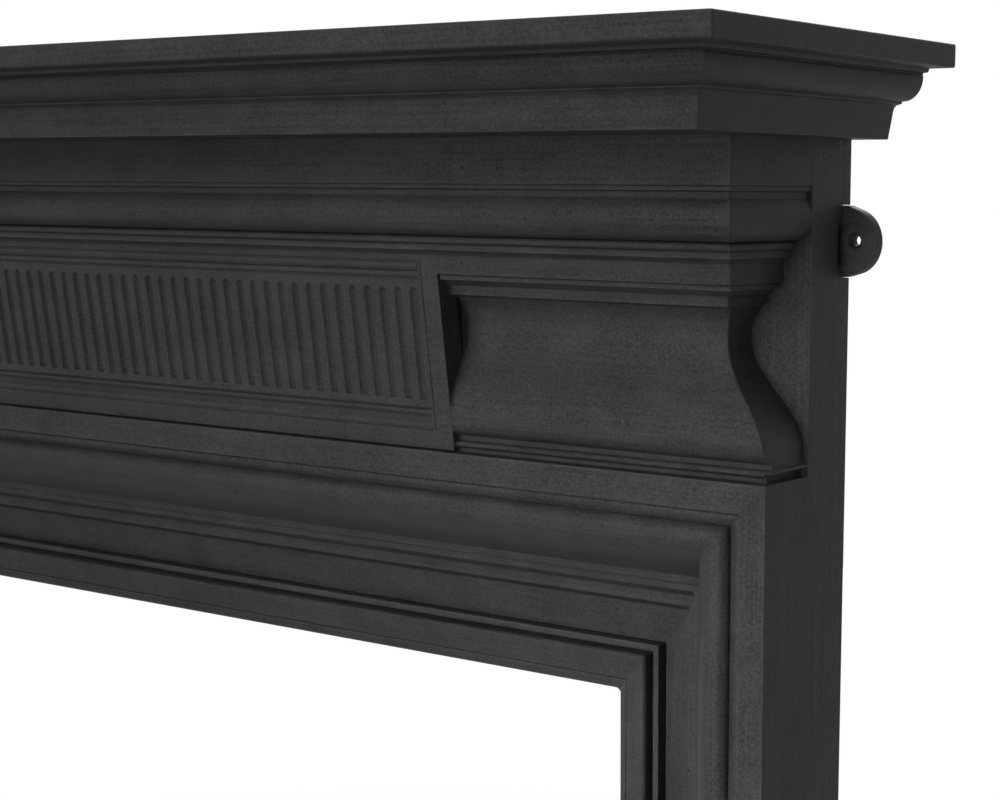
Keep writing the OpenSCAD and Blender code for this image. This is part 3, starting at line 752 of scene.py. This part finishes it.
def fluteTile():
    # One flute with its share of the mouldings above and below, as points (x, depth, z)
    top, foot = tabletMouldings()
    field, base = tablet["fieldDeep"], tablet["fluteFoot"]
    edge = tablet["pitch"] / 2
    # Each ring: reach from the middle of the flute, depth, and its wear and shade value; below 0 is painted shade
    # down in the flute
    rings = [(3.8, 0.0, 0.0), (3.5, 0.03, 0.5), (3.25, 0.2, 0.9), (3.0, 0.62, 0.2)]
    rings += [(reach, fluteDepth(reach), -0.25) for reach in (2.3, 1.2)]
    crown = tablet["fluteTop"] - tablet["fluteWide"] / 2
    points, faces, wearAndShade = [], [], []

    def add(x, depth, z, worn):
        points.append((x, depth, z))
        wearAndShade.append(worn)
        return len(points) - 1

    def strip(outline):
        rows = [[add(x, d, z, worn) for x in (-edge, 0, edge)] for d, z, worn in outline]
        faces.extend(quads(rows))
        return rows

    upper = strip(softOutline(top, 0.35, guard=0.6))
    lower = strip(softOutline(foot, 0.35, guard=0.6))
    wide = [(-reach, deep, worn) for reach, deep, worn in rings] + [(0.0, tablet["fluteDeep"], -0.25)]
    wide += [(-x, deep, worn) for x, deep, worn in reversed(wide[:-1])]
    sides = [[add(s * edge, field, z, 0.0) for s in (-1, 1)] for z in (crown, base - 0.5)]
    rows = []
    for z, share in ((crown, 1.0), (base + 0.5, 1.0), (base + 0.1, 0.12), (base - 0.5, 0.0)):
        rows.append([add(x, field + deep * share, z, worn if share == 1.0 else 0.0) for x, deep, worn in wide])
    faces.extend(quads(rows))
    faces.append([sides[0][0]] + [row[0] for row in rows] + [sides[1][0]])
    faces.append([rows[0][-1], sides[0][1], sides[1][1]] + [row[-1] for row in rows[:0:-1]])
    faces.append([sides[1][0]] + rows[-1] + [sides[1][1]] + lower[0][::-1])
    turns = [math.radians(180 - 30 * k) for k in range(7)]
    arcs = []
    for k, (reach, deep, worn) in enumerate(rings):
        inner = [add(reach * math.cos(a), field + deep, crown + reach * math.sin(a), worn) for a in turns[1:-1]]
        arcs.append([rows[0][k]] + inner + [rows[0][-1 - k]])
    faces.extend(quads(arcs))
    pole = rows[0][len(rings)]
    faces.extend([[arcs[-1][j], arcs[-1][j + 1], pole] for j in range(6)])
    faces.append([sides[0][0]] + upper[-1] + [sides[0][1]] + arcs[0][::-1])
    return points, faces, wearAndShade


def leanOver(points):
    # Turns depths behind the leaning face into places
    return [(x, leaning(z) + depth, z) for x, depth, z in points]


def makeTablet():
    points, faces, wearAndShade = fluteTile()
    span = tablet["pitch"] * (tablet["flutes"] - 1)
    piece = solidObject("flutedTablet", leanOver(points), faces, wearAndShade)
    runTree(piece, flutedRow, {
        "Count": tablet["flutes"], "Start": (-span / 2 * mm, 0, 0), "Pitch": (tablet["pitch"] * mm, 0, 0),
        "Weld": 1e-5, "Material": finishes["tablet"],
    })
    work = bmesh.new()
    work.from_mesh(piece.data)
    rim = [edge for edge in work.edges if edge.is_boundary]
    sunk = bmesh.ops.extrude_edge_only(work, edges=rim)["geom"]
    for vert in [item for item in sunk if isinstance(item, bmesh.types.BMVert)]:
        vert.co.y = (tablet["seatY"] + legFace) * mm
    bmesh.ops.holes_fill(work, edges=[edge for edge in work.edges if edge.is_boundary], sides=0)
    bmesh.ops.recalc_face_normals(work, faces=work.faces)
    work.to_mesh(piece.data)
    work.free()

    edge, fieldHalf, deep = tablet["half"], tablet["fieldHalf"], tablet["endDeep"]
    inner = edge - tablet["border"]
    low, high = tablet["foot"], frieze["flatTop"]
    runEnd = tablet["pitch"] * tablet["flutes"] / 2
    top, foot = tabletMouldings()
    across = softOutline(top + foot, 0.35, guard=0.6) + [(deep, low), (deep, high)]
    border = softOutline(
        [(fieldHalf, deep), (fieldHalf, 0.9), (378, 0.9), (378.3, 0.2), (380, 0.2), (380.3, 0.9), (inner, 0.9),
         (inner + 0.1, 0), (edge, 0), (edge, deep)], 0.3, closed=True, guard=0.6)
    ends = [prism(across, "x", runEnd - 0.4, fieldHalf + 0.2), prism(border, "z", low, high)]
    for z0, z1 in ((118.9, high), (low, 12.2)):
        ends.append(prism([(0, z0), (0, z1), (2, z1), (2, z0)], "x", fieldHalf, inner + 0.4))
    for points, faces in ends:
        join(piece, *bothSides((leanOver(points), faces)))
    cut(piece, block((-edge - 1, tablet["seatY"], 0), (edge + 1, 40, 124)))
    finishPiece(piece, "tablet", "tablet_iron", "fluted_tablet")


# Header, legs and frame: one moulding, as (w, y)

moulding = {
    "torusW": 33.0,
    "torusY": -2.4,
    "torusBend": 0.041,
    "fasciaW": 120.5,
    "lapW": 140.0,
    "lapY": 82.0,
}
leg = {
    "stileWide": 46.0,
    "stileFoot": -60.0,
    "webStep": 132.0,
    "webBack": 84.0,
    "bossWide": 22.0,
    "bossY": 47.0,
    "cleatY": 78.0,
    "cleatNear": 62.0,
    "cleatFar": 100.0,
    "lugZ": (134.5, -700.0),
    "lugThick": 9.0,
    "padIn": 36.0,
    "padY": 62.0,
    "padHalf": 16.0,
    "slot": (-21.8, 20.3),  # down and up from a lug's middle, behind the side
    "gap": (-14.0, 9.0),  # the same, through the side
    "gapY": 76.0,
}
frameCorner = 5.0


def mouldingFace():
    middle, high = moulding["torusW"], moulding["torusY"]
    bend = [(w, high + moulding["torusBend"] * (w - middle) ** 2) for w in range(35, 58, 2)]
    return (
        [(0, 0), (17.6, 0), (18, 2.6), (18.8, 3.2), (20.4, 2.7), (22.4, 3.1), (24, 4), (25.4, 4.6)]
        + arcPoints(middle, 4.6, 7.4, 7, 178, 270, 12) + bend
        + [(61.4, 30.5), (66.5, 40.5), (71, 41.2), (72.7, 43.4), (76.7, 44.2), (82.2, 56.8), (89.7, 58)]
        + [(95, 70.5), (moulding["fasciaW"], 78)]
    )


def mouldingBack():
    lapW, lapY = moulding["lapW"], moulding["lapY"]
    return [(moulding["fasciaW"], lapY), (lapW, lapY), (lapW, back)]


def mouldingInside():
    return [(94, back), (91, 80), (88, 75), (84, 67), (77.5, 65.5), (75.5, 61), (70.5, 50.5), (64, 49),
            (60.5, 43.5), (47.5, 18.5), (42, 8.5), (8, 8)]


def castingSection(backY):
    return mouldingFace() + mouldingBack() + mouldingInside() + [(8, backY), (0, backY)]


def frameSection():
    lap, lapEdge, gap = moulding["fasciaW"] + 0.7, moulding["lapW"] + 0.3, moulding["lapY"]
    return [
        (lap, gap), (lap, 70.4), (125.2, 70.2), (125.4, 74), (127.2, 74.5), (127.6, 65.6), (129, 64), (145.8, 70),
        (146.2, 71.8), (147.2, 72.2), (147.8, 71.4), (jambWide - 2, 74), (jambWide, 76.4), (jambWide, back),
        (lapEdge, back), (lapEdge, gap),
    ]


def runSection(name, section, look, path, radius=0.6):
    soft = softOutline(section, radius, closed=True)
    count = len(soft)
    mesh = newMesh(name, [(p[0], p[1], 0) for p in soft], edges=[(i, (i + 1) % count) for i in range(count)])
    addWearAndShade(mesh, [p[2] for p in soft])
    return runTree(newObject(name, mesh), mouldingRun, {"Unit": mm, "Material": finishes[look], **path})


def uprightPath(side, start, end, mitre, stations):
    return {"Along": (0, 0, 1), "Across": (-side, 0, 0), "Corner": (side * half * mm, legFace * mm, ledge * mm),
            "Start": start, "Start Mitre": 0.0, "End": end, "End Mitre": mitre, "Stations": stations}


def levelPath(stations):
    return {"Along": (1, 0, 0), "Across": (0, 0, -1), "Corner": (0, legFace * mm, ledge * mm),
            "Start": -half, "Start Mitre": 1.0, "End": half, "End Mitre": -1.0, "Stations": stations}


def makeHeader():
    piece = runSection("headerCasting", castingSection(frieze["flangeY"]), "header", levelPath(13))
    deep = leg["webBack"]
    web = [(7, -4)] + [(min(y, deep) - 1, -w) for w, y in mouldingInside()[::-1]] + [(deep, -84), (60, -wall)]
    for i in range(-3, 4):
        join(piece, prism(web, "x", i * webPitch - webHalf, i * webPitch + webHalf))
    boss = rodY(half - leg["cleatFar"], -leg["cleatNear"], leg["bossY"], leg["cleatY"], leg["bossWide"])
    join(piece, *bothSides(boss))
    stile = block((half - leg["stileWide"], frieze["stopY"] - 1, -100), (half + 1, back + 1, 1))
    cut(piece, *bothSides(stile))
    finishPiece(piece, "header", "header_iron", "header_casting")


def makeLeg(side, name, nodeName):
    piece = runSection(name, castingSection(back), "leg", uprightPath(side, legBottom, 0.0, -1.0, 9))
    stop, wide, lugFront = frieze["stopY"], leg["stileWide"], back - leg["lugThick"]
    section = [(0, stop), (wide, stop), (wide, back), (wide - 8, back), (wide - 8, stop + 8), (8, stop + 8),
               (8, back), (0, back)]
    stile = runSection("stile", section, "leg", uprightPath(side, leg["stileFoot"], friezeTop, 0.0, 3), radius=0.3)
    combine(piece, "UNION", stile)
    added = [block((half - wide + 1, stop + 1, friezeTop - wall), (half - 1, back - 0.2, friezeTop))]
    deep = leg["webBack"]
    web = [(half - w - 0.5, min(y, deep) - 0.5) for w, y in mouldingInside()[::-1]]
    web += [(half - 93, deep), (half - 4, deep)]
    for i in range(7):
        z = legBottom + i * leg["webStep"]
        if z < -100:
            added.append(prism(web, "z", z, z + (wall if i == 0 else body["webThick"])))
    for z in leg["lugZ"]:
        added.append(block((half - leg["padIn"], leg["padY"], z - leg["padHalf"]),
                           (half - 4, lugFront, z + leg["padHalf"])))
    added.append(rodY(half - leg["cleatNear"], -leg["cleatFar"], leg["bossY"], leg["cleatY"], leg["bossWide"]))
    join(piece, *[onSide(side, solid) for solid in added])
    for z in leg["lugZ"]:
        (slotLow, slotHigh), (gapLow, gapHigh) = leg["slot"], leg["gap"]
        slot = block((half - leg["padIn"] - 1, lugFront, z + slotLow), (half + 1, back + 1, z + slotHigh))
        gap = block((half - wall - 1, leg["gapY"], z + gapLow), (half + 1, back, z + gapHigh))
        for solid in (slot, gap):
            cut(piece, onSide(side, solid))
    finishPiece(piece, "leg", "leg_iron", nodeName)


def makeFrameHead():
    piece = runSection("frameHead", frameSection(), "frameHead", levelPath(11), radius=0.5)
    x, z, r = half - jambWide, -jambWide, frameCorner
    corner = [(x + 0.3, z + 0.3), (x - r, z + 0.3)] + arcPoints(x - r, z - r, r, r, 90, 0, 8) + [(x + 0.3, z - r)]
    join(piece, *bothSides(prism(corner, "y", 77.2, back - 0.1)))
    finishPiece(piece, "frameHead", "frame_iron", "frame_head")


def makeFrameSide(side, name, nodeName):
    piece = runSection(name, frameSection(), "frameSide", uprightPath(side, floorZ, 0.0, -1.0, 9), radius=0.5)
    finishPiece(piece, "frameSide", "frame_iron", nodeName)


# Plinths

plinth = {
    "floorEdge": 1.2,
    "corner": 3.0,
    "hollowCorner": 6.0,
}


def makePlinth(side, name, nodeName):
    out, e = plinthHigh.x - half, plinth["floorEdge"]
    section = arcPoints(0, legBottom - out, out, out, 90, 180, 8) + [(-out, floorZ + e), (e - out, floorZ)]
    soft = softOutline([(20, legBottom)] + section + [(20, floorZ)], 0.8)
    levels = [(half - o, o, z, worn, worn) for o, z, worn in soft]
    inner = half - moulding["fasciaW"]
    points, faces, wearAndShade = wrapped(levels, back, plinth["corner"], leftEnd=inner)
    piece = solidObject(name, *onSide(side, (points, faces)), wearAndShade)
    low, high = (inner + wall, wall - out, floorZ - 20), (half + out - wall, back + 1, legBottom - wall)
    cut(piece, onSide(side, roundedBlock(low, high, plinth["hollowCorner"])))
    finishPiece(piece, "plinth", "plinth_iron", nodeName)


# Wall lugs

lug = {
    "holeX": 8.0,
    "hole": 3.0,
    "dish": 5.0,
    "ring": 10.0,
    "round": 1.3,
    "rays": 96,
    "screwIn": 24.0,
    "screwZ": (-8, 8),
    "lumps": ((3.0, 13.6, 1.8, 0.6), (-2.0, 12.8, 1.6, 0.5), (12.0, -13.0, 3.0, 0.3), (2.0, -15.0, 2.6, 0.4)),
}


def lugOutline():
    # Half-round ear on a root that spreads up and down the leg, with the tang behind the leg
    ear = arcPoints(4.0, -0.8, 18.2, 19.2, -70, 70, 20)
    root = [(6.5, 18.6), (2.7, 20), (-8, 20), (-8, 14), (-36, 14)]
    foot = [(-36, -14), (-8, -14), (-8, -21.5), (0, -21.5), (4.1, -20.7)]
    return ear + root + foot


def rayLength(outline, centre, angle):
    way = Vector((math.cos(angle), math.sin(angle)))
    best = 0.0
    for i, a in enumerate(outline):
        a, b = Vector(a) - centre, Vector(outline[(i + 1) % len(outline)]) - centre
        span = b - a
        cross = way.x * span.y - way.y * span.x
        if abs(cross) < 1e-9:
            continue
        reach = (a.x * span.y - a.y * span.x) / cross
        part = (a.x * way.y - a.y * way.x) / cross
        if reach > 0 and -1e-6 <= part <= 1 + 1e-6:
            best = max(best, reach)
    return best


def makeLug(side, z, name, nodeName):
    centre = Vector((lug["holeX"], 0))
    outline = lugOutline()
    front, r = back - leg["lugThick"], lug["round"]
    hole, dish, ring = lug["hole"], lug["dish"], lug["ring"]
    rays = [2 * math.pi * i / lug["rays"] for i in range(lug["rays"])]
    reach = [rayLength(outline, centre, a) for a in rays]
    # Each ring: measured out from the hole or in from the outline, how far, its y and its wear and shade value;
    # below 0 is painted shade in the hole and round the ring
    rings = [("in", hole, front + 2.8, -0.5), ("in", hole + 0.1, front + 2.1, -0.3),
             ("in", dish - 0.3, front - 0.4, 0.0), ("in", dish + 0.1, front - 0.7, 0.4),
             ("in", dish + 0.8, front - 0.8, 0.3), ("in", ring - 1.2, front - 0.7, 0.2),
             ("in", ring - 0.1, front - 0.2, -0.2), ("in", ring + 0.9, front, 0.0),
             ("out", 2.6, front, 0.0), ("out", r, front, 0.3)]
    for t in (math.radians(turn) for turn in (30, 60, 90)):
        rings.append(("out", r - r * math.sin(t), front + r - r * math.cos(t), 0.8))
    rings += [("out", 0.0, back - 0.8, 0.3), ("out", 0.8, back, 0.3), ("out", 2.6, back, 0.0),
              ("in", hole + 0.2, back, 0.0), ("in", hole, back - 0.2, 0.3)]
    points, wearAndShade = [], []
    for kind, size, y, worn in rings:
        for angle, far in zip(rays, reach):
            length = size if kind == "in" else far - size
            x, up = centre.x + length * math.cos(angle), length * math.sin(angle)
            lift = 0.0
            if y <= front + 0.1:
                for lumpX, lumpZ, wide, high in lug["lumps"]:
                    lift += high * math.exp(-((x - lumpX) ** 2 + (up - lumpZ) ** 2) / (wide * wide))
            points.append((side * (half + x), y - lift, z + up))
            wearAndShade.append(worn)
    rows = numbered(len(rings), lug["rays"])
    piece = solidObject(name, points, quads(rows + rows[:1], True), wearAndShade)
    x = side * (half - lug["screwIn"])
    cut(piece, *[coneY(x, z + dz, back - 3.2, back + 0.3, 5.3, 11.2) for dz in lug["screwZ"]])
    finishPiece(piece, "lug", "lug_iron", nodeName, sharp=42)


# Fixings

fixing = {
    "head": 5.3,
    "nut": 6.5,
    "hexagon": 15.0,
    "shank": 8.0,
    "thread": 1.25,
    "sides": 24,
}
places = {
    "shelfBays": (-4.5, -2.5, -0.5, 0.5, 2.5, 4.5),  # in steps of the webs
    "shelfY": -10,
    "shelfEnd": (23, 68),  # in from the side, and y
    "friezeBays": (-2.5, -0.5, 0.5, 2.5),
    "friezeY": 34,
    "plinthIn": (24, 54),
    "plinthY": 50,
    "tabletBays": (-2.5, -1.5, -0.5, 0.5, 1.5, 2.5),
    "tabletY": 29,
    "lapIn": 132,
    "lapX": (-360, -120, 120, 360),
    "lapZ": (-250, -420, -590, -760),
}


def turnedFixing(name, levels, hexLevels=(), slot=None):
    # Turned about Z from (z, radius), a few of its levels trimmed to a hexagon
    count = fixing["sides"]
    apothem = fixing["hexagon"] / 2 * math.cos(math.radians(30))
    points = []
    for k, (z, radius) in enumerate(levels):
        for i in range(count):
            a = 2 * math.pi * i / count
            flat = math.radians((math.degrees(a) % 60) - 30)
            reach = min(radius, apothem / math.cos(flat)) if k in hexLevels else radius
            points.append((reach * math.cos(a) * mm, reach * math.sin(a) * mm, z * mm))
    rows = numbered(len(levels), count)
    mesh = newMesh(name, points, quads(rows, True) + [rows[0], rows[-1]])
    tidyMesh(mesh)
    pattern = newObject(name, mesh)
    if slot:
        wide, deep, top = slot
        points, faces = block((-10, -wide / 2, top - deep), (10, wide / 2, top + 5))
        groove = newMesh("groove", [(x * mm, y * mm, z * mm) for x, y, z in points], faces)
        tidyMesh(groove)
        combine(pattern, "DIFFERENCE", newObject("groove", groove))
    return pattern


def threaded(low, high, radius):
    # Crests and roots of a thread, from low to high
    levels = [(low, radius - 0.9), (low + 0.7, radius)]
    for i in range(int((high - low - 1.0) / fixing["thread"])):
        z = low + 0.9 + i * fixing["thread"]
        levels += [(z + 0.6, radius - 0.55), (z + 1.2, radius)]
    return levels


def hexBolt(grip):
    # The underside of the head is at z = 0 and the shank points down
    r, wide, head = fixing["shank"] / 2, fixing["hexagon"] / 2, fixing["head"]
    low = -grip - fixing["nut"] - 2
    levels = threaded(low, -grip, r) + [(-grip + 1, r), (0, r), (0, wide - 0.6), (0.3, wide + 0.2)]
    first = len(levels) - 2
    levels += [(head - 0.9, wide + 0.2), (head - 0.35, wide - 0.7), (head, wide - 1.3), (head, 4.6),
               (head - 0.25, 4.4)]
    return turnedFixing("hexBolt", levels, range(first, first + 4))


def hexNut():
    r, wide, high = fixing["shank"] / 2, fixing["hexagon"] / 2, fixing["nut"]
    levels = [(0, r), (0, wide - 1.2), (-0.8, wide + 0.2), (0.8 - high, wide + 0.2), (-high, wide - 1.2),
              (-high, r + 0.5), (-high + 0.5, r)]
    return turnedFixing("hexNut", levels, range(1, 5))


def sunkScrew(shank, head, deep, long):
    # The flat of the head is at z = 0 and the shank points down
    r, wide = shank / 2, head / 2
    levels = [(-long, r - 0.6), (0.6 - long, r), (-deep, r), (-0.5, wide - 0.3), (-0.1, wide), (0, wide - 0.15)]
    return turnedFixing("sunkScrew", levels, slot=(1.3, 1.2, 0.0))


def panScrew(shank, head, deep, long):
    # The underside of the head is at z = 0 and the shank points down
    r, wide = shank / 2, head / 2
    levels = [(-long, r), (0, r), (0, wide), (deep * 0.4, wide), (deep * 0.8, wide - 0.6), (deep, wide - 1.8)]
    return turnedFixing("panScrew", levels, slot=(1.5, 1.6, deep))


def setFixings(name, nodeName, pattern, points, turn):
    piece = newObject(name, newMesh(name, toScene(points)))
    runTree(piece, fixingSet, {"Fixing": pattern, "Turn": turn, "Material": finishes["fixing"]})
    bpy.data.objects.remove(pattern)
    finishPiece(piece, "fixing", "fixing_steel", nodeName, sharp=30)


def makeFixings():
    sides = (-1, 1)
    near, far, lapIn = leg["cleatNear"], leg["cleatFar"], places["lapIn"]
    upwards, backwards = (0, 0, 0), (-math.pi / 2, 0, 0)

    def bayRow(bays, y, z):
        return [(bay * webPitch, y, z) for bay in places[bays]]

    shelfRow = bayRow("shelfBays", places["shelfY"], friezeTop)
    endIn, endY = places["shelfEnd"]
    shelfRow += [(side * (half - endIn), endY, friezeTop) for side in sides]
    friezeRow = bayRow("friezeBays", places["friezeY"], 0)
    plinthRow = [(side * (half - w), places["plinthY"], legBottom) for side in sides for w in places["plinthIn"]]
    for word, row in (("shelf", shelfRow), ("frieze", friezeRow), ("plinth", plinthRow)):
        heads, nuts = ([(x, y, z + lift) for x, y, z in row] for lift in (wall, -wall))
        setFixings(word + "Bolts", word + "_bolts", hexBolt(2 * wall), heads, upwards)
        setFixings(word + "Nuts", word + "_nuts", hexNut(), nuts, upwards)
    cleats = [(side * (half - a), leg["cleatY"] + 5, -b) for side in sides for a, b in ((near, far), (far, near))]
    setFixings("cleatBolts", "cleat_bolts", hexBolt(11.5), cleats, backwards)
    tabletRow = bayRow("tabletBays", places["tabletY"], frieze["scotiaZ"])
    setFixings("tabletScrews", "tablet_screws", panScrew(6, 11, 4, 24), tabletRow, backwards)
    lap = [(x, back, -lapIn) for x in places["lapX"]]
    lap += [(side * (half - lapIn), back, z) for side in sides for z in places["lapZ"]]
    setFixings("frameScrews", "frame_screws", sunkScrew(6, 12, 3.5, 18), lap, backwards)
    heights = [z + dz for z in leg["lugZ"] for dz in lug["screwZ"]]
    lugs = [(side * (half - lug["screwIn"]), back, z) for side in sides for z in heights]
    setFixings("lugScrews", "lug_screws", sunkScrew(5, 10.5, 3, 20), lugs, backwards)


makeShelf()
makeFrieze()
makeTablet()
makeHeader()
for side, word in ((-1, "left"), (1, "right")):
    title = word.capitalize()
    makeLeg(side, "leg" + title, word + "_leg")
    makePlinth(side, "plinth" + title, word + "_plinth")
    makeFrameSide(side, "frame" + title, "frame_" + word)
    makeLug(side, leg["lugZ"][0], "lugUpper" + title, "lug_upper_" + word)
    makeLug(side, leg["lugZ"][1], "lugLower" + title, "lug_lower_" + word)
makeFrameHead()
makeFixings()
for word in ("cleat_left", "cleat_right"):
    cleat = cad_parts[word]
    cleat.data.materials.clear()
    cleat.data.materials.append(finishes["cleat"])


# Studio

studio = {
    "floorHalf": 14.0,
    "floorNear": 1.3,
    "floorFar": 2.6,
    "floorTone": (0.78, 0.78, 0.78, 1),
    "fill": 0.20,
}
lamps = {
    "keyLamp": {"power": 71.0, "place": (-0.73, -3.89, 3.11), "size": 2.2, "aim": (0.3, -0.05, 1.0)},
    "lowLamp": {"power": 2.6, "place": (0.5, -2.4, 1.0), "size": 0.8, "aim": (0.64, 0, 0.7), "spread": 30.0},
    "backLamp": {"power": 110.0, "place": (-1.2, 3.4, 3.6), "size": 2.6, "aim": (0, 0.1, 0.6)},
}
view = {
    "place": (1.18686, -0.87519, 1.25737),
    "yaw": 33.666,
    "pitch": 9.057,
    "roll": 0.461,
    "lens": 69.861,
    "shiftX": -0.2004,
    "shiftY": 0.0999,
}


def backdropSwitch(tree):
    # 1 for rays that should see the plain white background
    rays = tree.nodes.new("ShaderNodeLightPath").outputs
    maths = mathsIn(tree)
    seen = maths("MAXIMUM", rays["Is Camera Ray"], rays["Is Glossy Ray"])
    return maths("MAXIMUM", seen, rays["Is Transmission Ray"])


def makeFloor():
    size = studio["floorHalf"]
    corners = [(-size, -size, 0), (size, -size, 0), (size, size, 0), (-size, size, 0)]
    floor = newObject("floor", newMesh("floor", corners, [[0, 1, 2, 3]]))
    material, tree, place = newMaterial("paleFloor")
    away = addNode(tree, "ShaderNodeVectorMath", "LENGTH", i0=place).outputs["Value"]
    fade = mapRange(tree, away, studio["floorNear"], studio["floorFar"], 0.0, 1.0)
    white = addNode(tree, "ShaderNodeEmission", Color=(1, 1, 1, 1), Strength=1.0)
    matt = addNode(tree, "ShaderNodeBsdfDiffuse", Color=studio["floorTone"])
    factor = mathsIn(tree)("MULTIPLY", fade, backdropSwitch(tree))
    mixed = addNode(tree, "ShaderNodeMixShader", Fac=factor, i1=matt, i2=white)
    addNode(tree, "ShaderNodeOutputMaterial", Surface=mixed)
    floor.data.materials.append(material)


def makeWorld():
    world = bpy.data.worlds.new("studio")
    world.use_nodes = True
    scene.world = world
    tree = world.node_tree
    tree.nodes.clear()
    seen = addNode(tree, "ShaderNodeBackground", Color=(1, 1, 1, 1), Strength=1.0)
    fill = addNode(tree, "ShaderNodeBackground", Color=(1, 1, 1, 1), Strength=studio["fill"])
    mixed = addNode(tree, "ShaderNodeMixShader", Fac=backdropSwitch(tree), i1=fill, i2=seen)
    addNode(tree, "ShaderNodeOutputWorld", Surface=mixed)


def makeLamp(name, power, place, size, aim, spread=180.0):
    lamp = bpy.data.lights.new(name, "AREA")
    lamp.energy = power
    lamp.size = size
    lamp.spread = math.radians(spread)
    holder = newObject(name, lamp)
    holder.location = place
    holder.rotation_euler = (Vector(aim) - Vector(place)).to_track_quat("-Z", "Y").to_euler()
    holder.visible_camera = False


def makeCamera():
    camera = newObject("camera", bpy.data.cameras.new("camera"))
    camera.data.sensor_width = 36.0
    camera.data.lens = view["lens"]
    camera.data.shift_x = view["shiftX"]
    camera.data.shift_y = view["shiftY"]
    camera.data.clip_start = 0.02
    yaw, pitch, roll = (math.radians(view[key]) for key in ("yaw", "pitch", "roll"))
    ahead = Vector((-math.sin(yaw) * math.cos(pitch), math.cos(yaw) * math.cos(pitch), -math.sin(pitch)))
    right = Vector((math.cos(yaw), math.sin(yaw), 0))
    up = right.cross(ahead)
    rolledRight = right * math.cos(roll) + up * math.sin(roll)
    rolledUp = up * math.cos(roll) - right * math.sin(roll)
    turn = Matrix((rolledRight, rolledUp, -ahead)).transposed()
    camera.matrix_world = Matrix.Translation(view["place"]) @ turn.to_4x4()
    scene.camera = camera


makeFloor()
makeWorld()
for name, lamp in lamps.items():
    makeLamp(name, **lamp)
makeCamera()
scene.view_settings.view_transform = "Standard"
print("studio set")
